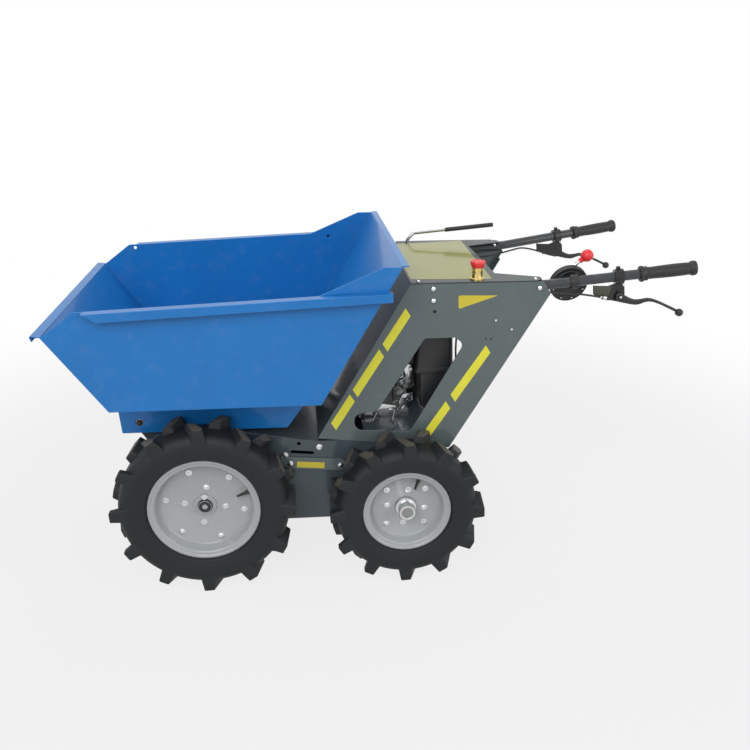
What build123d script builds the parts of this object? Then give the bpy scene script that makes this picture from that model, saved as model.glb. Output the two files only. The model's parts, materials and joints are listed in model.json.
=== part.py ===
"""Petrol mini site dumper: four lugged wheels, a front-tipping skip and a pedestrian console.

+X points forward to the skip's lip, +Y to the left side and +Z up. The origin lies on the
ground under the middle of the machine. All lengths are millimetres. Paired pieces are drawn
for the left side and mirrored for the right.
"""
from build123d import *
import math
import os

os.makedirs("parts", exist_ok=True)

# ---- Wheels -----------------------------------------------------------------------------
front_tyre_radius = 235.0
rear_tyre_radius = 203.5
front_axle_x = 444.0
rear_axle_x = -80.0
tyre_width = 106.0
wheel_centre_y = 300.0
lug_height = 16.0
lug_root = 20.0
lug_pitches = 12
front_flange_radius = 143.5
rear_flange_radius = 116.5
rim_width = 70.0
bead_height = 15.5
rim_sheet = 4.0
disc_recess = 32.0
shaft_radius = 15.0
front_cap_radius = 17.0
rear_cap_radius = 22.0
front_cap_reach = 12.0
rear_cap_reach = 36.0
hub_tube_radius = 24.0
hub_tube_length = 31.0
hub_flange_radius = 62.0
hub_flange_thickness = 6.0
hub_boss_radius = 29.0
hub_boss_reach = 4.0
shaft_inner_y = 180.0

# ---- Skip ---------------------------------------------------------------------------------
skip_half_width = 348.0
skip_sheet = 3.0
skip_floor_z = 525.0
skip_floor_front_x = 645.0
skip_floor_rear_x = 140.0
wall_lean = 29.6
skip_tip_x = 777.0
skip_tip_z = 716.0
lip_reach = 20.0
lip_hem = 8.0
rim_front_x = 698.0
rim_front_z = 775.0
rim_rear_z = 800.0
wing_length = 158.0
wing_corner = 12.0
guard_top_z = 864.0
guard_flat = 46.0
guard_flange = 14.0
rim_fold_width = 23.0
rim_fold_depth = 21.0
board_hole_radius = 4.5
board_hole_drop = 10.0

# ---- Skip subframe and tipping pivot --------------------------------------------------------
subframe_outer_y = 224.0
subframe_plate = 5.0
subframe_bottom_z = 409.0
subframe_front_x = 650.0
subframe_rear_x = 226.0
pivot_x = 604.0
pivot_z = 438.0
pivot_radius = 10.0
pivot_eye_radius = 22.0
pivot_ear = 12.0
pivot_gap = 7.0
pin_clearance = 0.06

# ---- Chassis --------------------------------------------------------------------------------
frame_outer_y = 236.0
frame_plate = 6.0
frame_sheet = 3.0
frame_bottom_z = 138.0
frame_rear_z = 372.0
frame_top_z = 406.0
frame_nose_x = 590.0
frame_nose_low_z = 290.0
frame_tail_x = -180.0
frame_tail_low_z = 200.0
frame_tail_high_z = 330.0
belly_front_x = 520.0
belly_rear_x = -130.0
step_front_x = 338.0
step_rear_x = 153.0
deck_z = 366.0
deck_front_x = 500.0
deck_front_drop = 10.0
cross_tube_width = 60.0
cross_tube_height = 40.0
cross_tube_wall = 4.0
bearing_flange_radius = 44.0
bearing_flange_thickness = 6.0
bearing_radius = 32.0
bearing_reach = 16.0
guard_bar_length = 166.0
guard_bar_height = 34.0
guard_bar_thickness = 5.0
rest_gap = 0.3

# ---- Console --------------------------------------------------------------------------------
console_sheet = 3.0
console_top_z = 796.0
console_foot_x = 148.0
console_foot_z = 381.0
console_heel_x = -203.0
console_heel_z = 339.0
console_top_rear_x = -421.5
console_shoulder_z = 762.0
rear_flange_width = 28.0
rear_flange_lip = 8.0
rear_flange_step_z = 742.0

# ---- Engine ---------------------------------------------------------------------------------
mount_height = 22.0
mount_length = 176.0
mount_middle_x = -62.0
crank_height = 95.0
engine_front_x = 20.0
engine_length = 130.0
crankcase_radius = 82.0
bore_tilt = 25.0
bore_x = -66.0
fin_count = 8
fin_pitch = 9.0
fin_thickness = 3.0
fin_length = 86.0
fin_width = 96.0
shroud_radius = 94.0
shroud_depth = 42.0
recoil_radius = 84.0
recoil_depth = 30.0
tank_bottom_z = 660.0
tank_height = 85.0
tank_length = 190.0
tank_width = 240.0
tank_front_x = -112.0

# ---- Handles and controls ---------------------------------------------------------------------
handle_radius = 12.5
handle_root_x = -300.0
handle_root_drop = 24.0
handle_bend_x = -440.0
handle_bend_drop = 15.0
handle_end_x = -797.0
handle_end_y = 264.0
handle_end_z = 827.0
grip_radius = 15.5
grip_length = 136.0
lever_plate = 5.0
lever_blade = 8.0
lever_knob_radius = 9.0
cable_radius = 2.5
control_inset = 25.0

lean = math.radians(wall_lean)
frame_inner_y = frame_outer_y - frame_plate
console_outer_y = frame_outer_y + console_sheet
deck_front_z = frame_top_z - deck_front_drop
deck_top_z = deck_z + frame_sheet
front_axle_z = front_tyre_radius
rear_axle_z = rear_tyre_radius


def side_plane(y):
    """Plane at the given y, drawn in x and z, whose extrusions run towards -y."""
    return Plane(origin=(0, y, 0), x_dir=(1, 0, 0), z_dir=(0, -1, 0))


def leaning_x(x, z, new_z):
    """Where a line that leans back like the skip's rear wall through (x, z) meets new_z."""
    return x - (new_z - z) * math.tan(lean)


def add_knob(centre, along, radius, corners=7):
    """Turned knob, rounded in steps, on the end of a rod that runs along the given direction."""
    along = Vector(*along).normalized()
    face = Plane(origin=centre, x_dir=along, z_dir=along.cross(Vector(0, 0, 1)))
    turns = [math.pi * k / (corners - 1) for k in range(corners)]
    with BuildSketch(face) as half_disc:
        with BuildLine():
            Polyline(*[(radius * math.cos(t), radius * math.sin(t)) for t in turns], close=True)
        make_face()
    revolve(half_disc.sketch, axis=Axis(centre, along))


def write(part, name):
    """Label a finished piece and write its STEP file."""
    part.part.label = name
    export_step(part.part, f"parts/{name}.step")


def write_pair(part, stem):
    """Write a left-hand piece and its mirror image for the right-hand side."""
    write(part, f"{stem}_left")
    with BuildPart() as twin:
        mirror(part.part, about=Plane.XZ)
    write(twin, f"{stem}_right")


# ---- Wheels -----------------------------------------------------------------------------------
# Corners of a lug seen from outside: run forward of its middle, distance from mid-tread
lug_print = [(24, 1), (0, 1), (-24, 34), (-24, 53), (2, 53)]
lug_half_run = 24
lug_foot_run = -10
lug_depth = lug_height + lug_root
lug_draft = 6


def wheel_plane(axle_x, axle_z):
    """Plane through an axle, drawn as radius and y."""
    return Plane(origin=(axle_x, 0, axle_z), x_dir=(1, 0, 0), z_dir=(0, 0, 1))


def wheel_axis(axle_x, axle_z):
    return Axis(origin=(axle_x, 0, axle_z), direction=(0, 1, 0))


def make_tyre(axle_x, radius, flange_radius):
    """Many-sided carcass, one side under each lug, with two rows of staggered lugs."""
    sides = 2 * lug_pitches
    seat = flange_radius - bead_height
    half = tyre_width / 2
    bead = rim_width / 2 - rim_sheet
    crown = radius - lug_height
    # The lugs turn with their feet straight under the axle and stand on their rear corners
    swing = lug_foot_run / radius
    spread = math.asin(lug_half_run / radius)
    tip = radius * math.cos(spread) / math.cos(spread + swing)
    flank = [
        (seat, bead), (flange_radius, bead), ((flange_radius + crown) / 2, half - 3),
        (crown - 8, half - 17), (crown, half - 34),
    ]
    section = flank + [(r, -w) for r, w in reversed(flank)]
    forward = (math.cos(swing), 0, math.sin(swing))
    centre = Plane(origin=(axle_x, wheel_centre_y, radius), x_dir=forward, z_dir=(0, -1, 0))
    corner = seat / math.cos(math.pi / sides)
    turns = [2 * math.pi * (k + 0.5) / sides for k in range(sides)]
    with BuildPart() as upper_lugs:
        # Lugs of the upper half, drawn at their roots
        for pitch in range(-lug_pitches // 4, lug_pitches // 4):
            for row, stagger in ((1, 0), (-1, 0.5)):
                turn = 2 * math.pi * (pitch + stagger) / lug_pitches
                out = centre.x_dir * math.sin(turn) + centre.y_dir * math.cos(turn)
                along = centre.x_dir * math.cos(turn) - centre.y_dir * math.sin(turn)
                root = centre.origin + out * (tip - lug_depth)
                with BuildSketch(Plane(origin=root, x_dir=along, z_dir=out)):
                    with BuildLine():
                        Polyline(*[(run, row * w) for run, w in lug_print], close=True)
                    make_face()
                    offset(amount=lug_depth * math.tan(math.radians(lug_draft)), kind=Kind.INTERSECTION)
        extrude(amount=lug_depth, taper=lug_draft)
    with BuildPart() as tyre:
        with BuildLine(centre) as ring:
            Polyline((seat, 0), *[(corner * math.cos(t), corner * math.sin(t)) for t in turns], close=True)
        with BuildSketch(Plane(origin=ring.line @ 0, x_dir=centre.x_dir, z_dir=centre.y_dir)):
            with BuildLine():
                Polyline(*[(r - seat, w) for r, w in section], close=True)
            make_face()
        sweep(path=ring.line, transition=Transition.RIGHT)
        add(upper_lugs.part)
        add(upper_lugs.part.rotate(wheel_axis(axle_x, radius), 180))
        # The lugs' feet end square at the tyre's width
        with BuildSketch(side_plane(wheel_centre_y + half)):
            with Locations((axle_x, radius)):
                Rectangle(3 * radius, 3 * radius)
        extrude(amount=tyre_width, mode=Mode.INTERSECT)
    return tyre


def make_rim(axle_x, radius, flange_radius, cap_radius):
    """Two-flange pressed rim with its disc set back from the outer flange."""
    seat = flange_radius - bead_height
    outer = wheel_centre_y + rim_width / 2
    inner = wheel_centre_y - rim_width / 2
    barrel = seat - rim_sheet
    disc = outer - disc_recess
    with BuildPart() as rim:
        with BuildSketch(wheel_plane(axle_x, radius)):
            with BuildLine():
                Polyline(
                    (flange_radius, outer), (barrel, outer), (barrel, disc), (cap_radius, disc),
                    (cap_radius, disc - rim_sheet), (barrel, disc - rim_sheet), (barrel, inner),
                    (flange_radius, inner), (flange_radius, inner + rim_sheet), (seat, inner + rim_sheet),
                    (seat, outer - rim_sheet), (flange_radius, outer - rim_sheet), close=True,
                )
            make_face()
        revolve(axis=wheel_axis(axle_x, radius))
    return rim


def make_hub(axle_x, radius, cap_radius, cap_reach):
    """Stub shaft, hub tube, bolting flange, boss and end cap, turned as one piece."""
    disc_outer = wheel_centre_y + rim_width / 2 - disc_recess
    disc_inner = disc_outer - rim_sheet
    flange_start = disc_inner - hub_flange_thickness
    tube_start = flange_start - hub_tube_length
    with BuildPart() as hub:
        with BuildSketch(wheel_plane(axle_x, radius)):
            with BuildLine():
                Polyline(
                    (0, shaft_inner_y), (shaft_radius, shaft_inner_y), (shaft_radius, tube_start),
                    (hub_tube_radius, tube_start), (hub_tube_radius, flange_start),
                    (hub_flange_radius, flange_start), (hub_flange_radius, disc_inner),
                    (cap_radius, disc_inner), (cap_radius, disc_outer), (hub_boss_radius, disc_outer),
                    (hub_boss_radius, disc_outer + hub_boss_reach),
                    (cap_radius, disc_outer + hub_boss_reach), (cap_radius, disc_outer + cap_reach),
                    (0, disc_outer + cap_reach), close=True,
                )
            make_face()
        revolve(axis=wheel_axis(axle_x, radius))
    return hub


# Each end: axle's x, tyre radius, rim flange radius, end cap radius, end cap reach
wheels = {
    "front": (front_axle_x, front_tyre_radius, front_flange_radius, front_cap_radius, front_cap_reach),
    "rear": (rear_axle_x, rear_tyre_radius, rear_flange_radius, rear_cap_radius, rear_cap_reach),
}
for end, (axle_x, radius, flange_radius, cap_radius, cap_reach) in wheels.items():
    write_pair(make_tyre(axle_x, radius, flange_radius), f"tyre_{end}")
    write_pair(make_rim(axle_x, radius, flange_radius, cap_radius), f"rim_{end}")
    write_pair(make_hub(axle_x, radius, cap_radius, cap_reach), f"hub_{end}")


# ---- Skip -------------------------------------------------------------------------------------
guard_x = leaning_x(skip_floor_rear_x, skip_floor_z, guard_top_z)
rim_rear_x = leaning_x(skip_floor_rear_x, skip_floor_z, rim_rear_z)
wing_x = rim_rear_x + wing_length
rim_slope = (rim_rear_z - rim_front_z) / (rim_front_x - wing_x)


def rim_z(x):
    """Height of the side walls' top edge."""
    return rim_front_z + (rim_front_x - x) * rim_slope


with BuildPart() as skip_shell:
    # One bent sheet: guard, rear wall, floor, front wall and lip
    with BuildSketch(side_plane(skip_half_width)):
        with BuildLine():
            Polyline(
                (guard_x - guard_flange, guard_top_z), (guard_x, guard_top_z),
                (skip_floor_rear_x, skip_floor_z), (skip_floor_front_x, skip_floor_z),
                (skip_tip_x, skip_tip_z), (skip_tip_x + lip_reach, skip_tip_z + 2),
                (skip_tip_x + lip_reach - skip_sheet, skip_tip_z - lip_hem),
            )
            offset(amount=skip_sheet, side=Side.LEFT)
        make_face()
    extrude(amount=2 * skip_half_width)
    # Side walls with the wings that rise to the rear guard, and holes for raising boards
    for y in (skip_half_width, -skip_half_width + skip_sheet):
        with BuildSketch(side_plane(y)):
            with BuildLine():
                FilletPolyline(
                    (skip_floor_rear_x, skip_floor_z), (skip_floor_front_x, skip_floor_z),
                    (skip_tip_x, skip_tip_z), (rim_front_x, rim_front_z), (wing_x, rim_rear_z),
                    (guard_x + guard_flat, guard_top_z), (guard_x, guard_top_z),
                    radius=(0, 0, 0, 0, wing_corner, wing_corner, 0), close=True,
                )
            make_face()
            for x in (rim_front_x - 18, wing_x - 56):
                with Locations((x, rim_z(x) - board_hole_drop)):
                    Circle(board_hole_radius, mode=Mode.SUBTRACT)
        extrude(amount=skip_sheet)
    # Outward-folded rims, cut back on a slant at the front
    fold_front = rim_front_x - 22
    fold_rear = rim_rear_x - 12
    fold_slant = 34
    for side in (1, -1):
        wall_y = side * skip_half_width
        edge_y = side * (skip_half_width + rim_fold_width)
        with BuildSketch(side_plane(max(wall_y, edge_y))):
            with BuildLine():
                Polyline(
                    (fold_front, rim_z(fold_front)), (fold_rear, rim_z(fold_rear)),
                    (fold_rear, rim_z(fold_rear) - skip_sheet),
                    (fold_front, rim_z(fold_front) - skip_sheet), close=True,
                )
            make_face()
        extrude(amount=rim_fold_width)
        with BuildSketch(side_plane(max(edge_y, edge_y + skip_sheet * (1 - side) / 2))):
            with BuildLine():
                Polyline(
                    (fold_front, rim_z(fold_front)), (fold_rear, rim_z(fold_rear)),
                    (fold_rear, rim_z(fold_rear) - rim_fold_depth),
                    (fold_front - fold_slant, rim_z(fold_front) - rim_fold_depth), close=True,
                )
            make_face()
        extrude(amount=skip_sheet)
write(skip_shell, "skip_shell")

# Cross members under the floor: front face's x and lower edge's z
skip_bearers = [(skip_floor_front_x - 5, 452), (450, 485), (250, 440)]
with BuildPart() as skip_subframe:
    rear_top_x = subframe_rear_x - (skip_floor_z - subframe_bottom_z) * 0.71
    front_top_x = skip_floor_front_x + 14
    front_wall_rise = (skip_tip_z - skip_floor_z) / (skip_tip_x - skip_floor_front_x)
    for y in (subframe_outer_y, -subframe_outer_y + subframe_plate):
        with BuildSketch(side_plane(y)):
            with BuildLine():
                Polyline(
                    (subframe_rear_x, subframe_bottom_z), (subframe_front_x, subframe_bottom_z),
                    (front_top_x, skip_floor_z + 14 * front_wall_rise),
                    (skip_floor_front_x, skip_floor_z), (rear_top_x, skip_floor_z), close=True,
                )
            make_face()
            with Locations((pivot_x, pivot_z)):
                Circle(pivot_radius + pin_clearance, mode=Mode.SUBTRACT)
        extrude(amount=subframe_plate)
    inner_width = 2 * (subframe_outer_y - subframe_plate)
    for x, low in skip_bearers:
        with BuildSketch(side_plane(inner_width / 2)):
            with Locations((x, low)):
                Rectangle(subframe_plate, skip_floor_z - low, align=(Align.MIN, Align.MIN))
        extrude(amount=inner_width)
write(skip_subframe, "skip_subframe")


# ---- Chassis ------------------------------------------------------------------------------------
with BuildPart() as frame_side:
    with BuildSketch(side_plane(frame_outer_y)):
        with BuildLine():
            Polyline(
                (belly_rear_x, frame_bottom_z), (belly_front_x, frame_bottom_z),
                (frame_nose_x, frame_nose_low_z), (frame_nose_x, frame_top_z - 22),
                (frame_nose_x - 28, frame_top_z), (step_front_x, frame_top_z),
                (step_rear_x, frame_rear_z), (frame_tail_x + 15, frame_rear_z),
                (frame_tail_x, frame_tail_high_z), (frame_tail_x, frame_tail_low_z), close=True,
            )
        make_face()
        # Axle bores, the chain adjuster's slot and a bolt hole over it
        with Locations((front_axle_x, front_axle_z), (rear_axle_x, rear_axle_z)):
            Circle(shaft_radius + 3, mode=Mode.SUBTRACT)
        with Locations((190, 340)):
            SlotOverall(62, 9, rotation=6, mode=Mode.SUBTRACT)
        with Locations((198, 366)):
            Circle(5, mode=Mode.SUBTRACT)
    extrude(amount=frame_plate)
write_pair(frame_side, "frame_side")

with BuildPart() as chassis_pan:
    with BuildSketch(side_plane(frame_inner_y)):
        with BuildLine():
            Polyline(
                (frame_tail_x, frame_tail_high_z), (frame_tail_x, frame_tail_low_z),
                (belly_rear_x, frame_bottom_z), (belly_front_x, frame_bottom_z),
                (frame_nose_x, frame_nose_low_z), (frame_nose_x, frame_nose_low_z + 60),
            )
            offset(amount=frame_sheet, side=Side.LEFT)
        make_face()
    extrude(amount=2 * frame_inner_y)
write(chassis_pan, "chassis_pan")

with BuildPart() as deck_plate:
    with BuildSketch(side_plane(frame_inner_y)):
        with BuildLine():
            Polyline(
                (frame_tail_x + 15, deck_z), (step_rear_x - 13, deck_z),
                (step_front_x, deck_front_z), (deck_front_x, deck_front_z),
            )
            offset(amount=frame_sheet, side=Side.RIGHT)
        make_face()
    extrude(amount=2 * frame_inner_y)
write(deck_plate, "deck_plate")

with BuildPart() as pivot_bracket:
    # Cross tube between the side plates and two ears for the tipping shaft
    tube_x = pivot_x - 50
    tube_z = pivot_z - 90
    tube_top_z = tube_z + cross_tube_height / 2
    with BuildSketch(side_plane(frame_inner_y)):
        with Locations((tube_x, tube_z)):
            Rectangle(cross_tube_width, cross_tube_height)
            Rectangle(
                cross_tube_width - 2 * cross_tube_wall, cross_tube_height - 2 * cross_tube_wall,
                mode=Mode.SUBTRACT,
            )
    extrude(amount=2 * frame_inner_y)
    ear_y = subframe_outer_y - subframe_plate - pivot_gap
    for y in (ear_y, -ear_y + pivot_ear):
        with BuildSketch(side_plane(y)):
            with BuildLine():
                Polyline(
                    (tube_x - 24, tube_top_z), (tube_x + 29, tube_top_z),
                    (pivot_x + pivot_eye_radius, pivot_z), (pivot_x - pivot_eye_radius, pivot_z),
                    close=True,
                )
            make_face()
            with Locations((pivot_x, pivot_z)):
                Circle(pivot_eye_radius)
                Circle(pivot_radius + pin_clearance, mode=Mode.SUBTRACT)
        extrude(amount=pivot_ear)
write(pivot_bracket, "pivot_bracket")

with BuildPart() as tipping_shaft:
    with BuildSketch(side_plane(subframe_outer_y - 1)):
        with Locations((pivot_x, pivot_z)):
            Circle(pivot_radius)
    extrude(amount=2 * (subframe_outer_y - 1))
write(tipping_shaft, "tipping_shaft")

with BuildPart() as rest_pads:
    pad_seat_z = deck_front_z + frame_sheet
    pad_width = 20
    for y in (subframe_outer_y + 2, -subframe_outer_y - 2 + pad_width):
        with BuildSketch(side_plane(y)):
            with Locations((420, pad_seat_z)):
                Rectangle(
                    60, subframe_bottom_z - rest_gap - pad_seat_z, align=(Align.CENTER, Align.MIN)
                )
        extrude(amount=pad_width)
write(rest_pads, "rest_pads")

with BuildPart() as bearings:
    # Flanged bearing housings outside the left side plate
    for x, z in ((front_axle_x, front_axle_z), (rear_axle_x, rear_axle_z)):
        for size, reach in (
            (bearing_flange_radius, bearing_flange_thickness), (bearing_radius, bearing_reach)
        ):
            with BuildSketch(side_plane(frame_outer_y + reach)):
                with Locations((x, z)):
                    Circle(size)
                    Circle(shaft_radius + pin_clearance, mode=Mode.SUBTRACT)
            extrude(amount=reach)
write_pair(bearings, "bearings")

with BuildPart() as chain_guards:
    for y in (frame_outer_y + guard_bar_thickness, -frame_outer_y):
        with BuildSketch(side_plane(y)):
            with Locations((156, 307)):
                SlotOverall(guard_bar_length, guard_bar_height, rotation=5)
            with Locations((206, 311)):
                Rectangle(guard_bar_length / 2, guard_bar_height, rotation=5)
        extrude(amount=guard_bar_thickness)
write(chain_guards, "chain_guards")


# ---- Console --------------------------------------------------------------------------------------
console_top_front_x = leaning_x(console_foot_x, console_foot_z, console_top_z)
shoulder_x = leaning_x(console_heel_x, console_heel_z, console_shoulder_z)
# Corners of the side window: x, z and corner radius
window_corners = [
    (-127, 651, 12), (-206, 651, 12), (-228, 633, 16), (-97, 392, 14), (51, 402, 22),
    (51, 450, 22), (-7, 450, 30),
]


def console_flange(low_z, high_z, width, side_y):
    """Inward flange along the leaning rear edge, from low_z up to high_z."""
    low_x = leaning_x(console_heel_x, console_heel_z, low_z)
    high_x = leaning_x(console_heel_x, console_heel_z, high_z)
    fold = console_sheet + 0.5
    with BuildSketch(side_plane(side_y)) as strip:
        with BuildLine():
            Polyline((low_x, low_z), (high_x, high_z), (high_x + fold, high_z), (low_x + fold, low_z),
                     close=True)
        make_face()
    extrude(strip.sketch, amount=width)


with BuildPart() as console_side:
    # Folded side plate with its slanted window
    plate_top_z = console_top_z - console_sheet
    with BuildSketch(side_plane(console_outer_y)):
        with BuildLine():
            Polyline(
                (console_foot_x, console_foot_z),
                (leaning_x(console_foot_x, console_foot_z, plate_top_z), plate_top_z),
                (console_top_rear_x, plate_top_z), (shoulder_x, console_shoulder_z),
                (console_heel_x, console_heel_z), close=True,
            )
        make_face()
        with BuildLine():
            FilletPolyline(
                *[(x, z) for x, z, r in window_corners], radius=[r for x, z, r in window_corners],
                close=True,
            )
        make_face(mode=Mode.SUBTRACT)
    extrude(amount=console_sheet)
    # Rear flange, cut back at the top where the cables come in
    console_flange(400, rear_flange_step_z, rear_flange_width, frame_outer_y)
    console_flange(rear_flange_step_z, console_shoulder_z, rear_flange_lip, frame_outer_y)
write_pair(console_side, "console_side")

with BuildPart() as console_front_panel:
    panel_back = 8
    panel_foot_z = console_foot_z + 1
    with BuildSketch(side_plane(frame_outer_y)):
        with BuildLine():
            foot_x = leaning_x(console_foot_x, console_foot_z, panel_foot_z)
            head_x = leaning_x(console_foot_x, console_foot_z, plate_top_z)
            Polyline(
                (foot_x - panel_back / 2, panel_foot_z), (head_x - panel_back / 2, plate_top_z),
                (head_x - panel_back, plate_top_z), (foot_x - panel_back, panel_foot_z), close=True,
            )
        make_face()
    extrude(amount=2 * frame_outer_y)
write(console_front_panel, "console_front_panel")

with BuildPart() as top_panel:
    horn_x = console_top_rear_x - 3.5
    cut_x = console_top_rear_x + 103.5
    edge_y = console_outer_y
    rear_edge = [(edge_y, 16.5), (edge_y - 14, 0), (edge_y - 36, -3.5), (edge_y - 81, 103.5)]
    with BuildSketch(Plane.XY.offset(plate_top_z)):
        with BuildLine():
            Polyline(
                (console_top_front_x, edge_y),
                *[(console_top_rear_x + back, y) for y, back in rear_edge],
                *[(console_top_rear_x + back, -y) for y, back in reversed(rear_edge)],
                (console_top_front_x, -edge_y), close=True,
            )
        make_face()
    extrude(amount=console_sheet)
write(top_panel, "top_panel")

# ---- Engine -----------------------------------------------------------------------------------------
engine_floor_z = deck_top_z + mount_height
crank_z = engine_floor_z + crank_height
engine_rear_x = engine_front_x - engine_length
engine_middle_x = engine_front_x - engine_length / 2
fan_x = engine_rear_x - shroud_depth
bore_lean = math.radians(bore_tilt)
bore_rise = Vector(0, math.sin(bore_lean), math.cos(bore_lean))
fins_start = crankcase_radius + 4
head_start = fins_start + fin_count * fin_pitch
head_height = 14
carburettor_z = crank_z + 89


def crank_plane(x):
    """Plane square to the crankshaft, drawn in y and z, whose extrusions run forwards."""
    return Plane(origin=(x, 0, crank_z), x_dir=(0, 1, 0), z_dir=(1, 0, 0))


def bore_plane(distance):
    """Plane square to the cylinder's slanted bore, at a distance from the crankshaft."""
    origin = Vector(bore_x, 0, crank_z) + bore_rise * distance
    return Plane(origin=origin, x_dir=(1, 0, 0), z_dir=bore_rise)


with BuildPart() as engine_mount:
    with BuildSketch(side_plane(frame_inner_y)):
        with Locations((mount_middle_x, deck_top_z + mount_height / 2)):
            Rectangle(mount_length, mount_height)
            Rectangle(mount_length - 8, mount_height - 8, mode=Mode.SUBTRACT)
    extrude(amount=2 * frame_inner_y)
write(engine_mount, "engine_mount")

with BuildPart() as crankcase:
    foot_height = 10
    with BuildSketch(crank_plane(engine_rear_x)):
        Circle(crankcase_radius)
        Rectangle(150, crank_height, align=(Align.CENTER, Align.MAX))
    extrude(amount=engine_length)
    with BuildSketch(Plane.XY.offset(engine_floor_z)):
        with Locations((engine_middle_x, 0)):
            Rectangle(engine_length, 230)
            with GridLocations(engine_length - 34, 196, 2, 2):
                Circle(5, mode=Mode.SUBTRACT)
    extrude(amount=foot_height)
    # Stiffening ribs on both flanks
    for x in range(5):
        with BuildSketch(crank_plane(engine_rear_x + 8 + 28 * x)):
            with Locations((0, -40)):
                Rectangle(176, 76)
        extrude(amount=4)
    # Shaft boss on the drive end, between eight spokes
    with BuildSketch(crank_plane(engine_front_x)):
        Circle(28)
        with PolarLocations(44, 8):
            Rectangle(44, 5)
    extrude(amount=8)
    # Oil filler on the left flank
    with BuildSketch(Plane(origin=(engine_front_x - 26, 80, engine_floor_z + 34), z_dir=(0, 1, 0.6))):
        Circle(12)
    extrude(amount=30)
write(crankcase, "crankcase")

with BuildPart() as cylinder_block:
    # Finned barrel that seats on the crankcase, and its head
    with BuildSketch(bore_plane(crankcase_radius / 2)):
        Circle(40)
    extrude(amount=head_start - crankcase_radius / 2)
    with BuildSketch(crank_plane(engine_rear_x)):
        Circle(crankcase_radius)
    extrude(amount=engine_length, mode=Mode.SUBTRACT)
    for fin in range(fin_count):
        with BuildSketch(bore_plane(fins_start + fin * fin_pitch)):
            RectangleRounded(fin_length, fin_width, 10)
        extrude(amount=fin_thickness)
    with BuildSketch(bore_plane(head_start)):
        RectangleRounded(fin_length, fin_width, 10)
    extrude(amount=head_height)
    # Inlet boss for the carburettor
    with BuildSketch(side_plane(112)):
        with Locations((bore_x - 7, carburettor_z)):
            Circle(22)
    extrude(amount=44)
write(cylinder_block, "cylinder_block")

with BuildPart() as rocker_cover:
    with BuildSketch(bore_plane(head_start + head_height)):
        RectangleRounded(70, 74, 12)
    extrude(amount=18, taper=6)
write(rocker_cover, "rocker_cover")

with BuildPart() as fan_shroud:
    # Fan housing with the slanted air duct and two ears that carry the tank
    with BuildSketch(crank_plane(fan_x)):
        Circle(shroud_radius)
        Rectangle(fin_width, 155, rotation=-bore_tilt, align=(Align.CENTER, Align.MIN))
        with Locations((-84, 0), (6, 0)):
            Rectangle(24, tank_bottom_z - crank_z, align=(Align.CENTER, Align.MIN))
    extrude(amount=shroud_depth)
write(fan_shroud, "fan_shroud")

with BuildPart() as recoil_starter:
    back = Plane(origin=(fan_x, 0, crank_z), x_dir=(0, -1, 0), z_dir=(-1, 0, 0))
    with BuildSketch(back):
        Circle(recoil_radius)
    extrude(amount=recoil_depth, taper=22)
    with BuildSketch(back.offset(recoil_depth)):
        Circle(22)
    extrude(amount=5)
    # Radial air slots and the pull handle at the rim
    with BuildSketch(back.offset(recoil_depth)):
        with PolarLocations(48, 16):
            SlotOverall(34, 7)
    extrude(amount=-14, mode=Mode.SUBTRACT)
    with BuildSketch(back):
        with Locations((-62, 66)):
            SlotOverall(58, 15, rotation=45)
    extrude(amount=20)
write(recoil_starter, "recoil_starter")

with BuildPart() as fuel_tank:
    tank_centre = (tank_front_x - tank_length / 2, -40)
    seam = 6
    with BuildSketch(Plane.XY.offset(tank_bottom_z)):
        with Locations(tank_centre):
            RectangleRounded(tank_length, tank_width, 34)
    extrude(amount=tank_height)
    chamfer(fuel_tank.faces().sort_by(Axis.Z)[-1].edges(), 12)
    with BuildSketch(Plane.XY.offset(tank_bottom_z + tank_height / 2)):
        with Locations(tank_centre):
            RectangleRounded(tank_length + 2 * seam, tank_width + 2 * seam, 40)
    extrude(amount=4)
    with BuildSketch(Plane.XY.offset(tank_bottom_z + tank_height)):
        with Locations(tank_centre):
            RegularPolygon(30, 12)
    extrude(amount=16)
write(fuel_tank, "fuel_tank")

with BuildPart() as air_filter:
    # Rounded cover on its base, with the elbow that takes in the carburettor's throat
    filter_centre = (bore_x - 97, 156)
    with BuildSketch(Plane.XY.offset(carburettor_z - 35)):
        with Locations(filter_centre):
            RectangleRounded(112, 88, 18)
    extrude(amount=12)
    with BuildSketch(Plane.XY.offset(carburettor_z - 23)):
        with Locations(filter_centre):
            RectangleRounded(104, 80, 16)
    extrude(amount=88, taper=3)
    with BuildSketch(Plane.YZ.offset(bore_x - 50)):
        with Locations((160, carburettor_z)):
            RectangleRounded(26, 44, 8)
    extrude(amount=66)
write(air_filter, "air_filter")

with BuildPart() as carburettor:
    # Throat, mounting flange, float bowl and choke shaft
    throat = (bore_x - 7, carburettor_z)
    for y, reach, size in ((118, 6, 25), (147, 29, 19)):
        with BuildSketch(side_plane(y)):
            with Locations(throat):
                Circle(size)
        extrude(amount=reach)
    with BuildSketch(Plane.XY.offset(carburettor_z - 16)):
        with Locations((throat[0], 133)):
            Circle(13)
    extrude(amount=-30)
    with BuildSketch(Plane.YZ.offset(throat[0])):
        with Locations((133, carburettor_z + 14)):
            Circle(4)
    extrude(amount=40)
write(carburettor, "carburettor")

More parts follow.
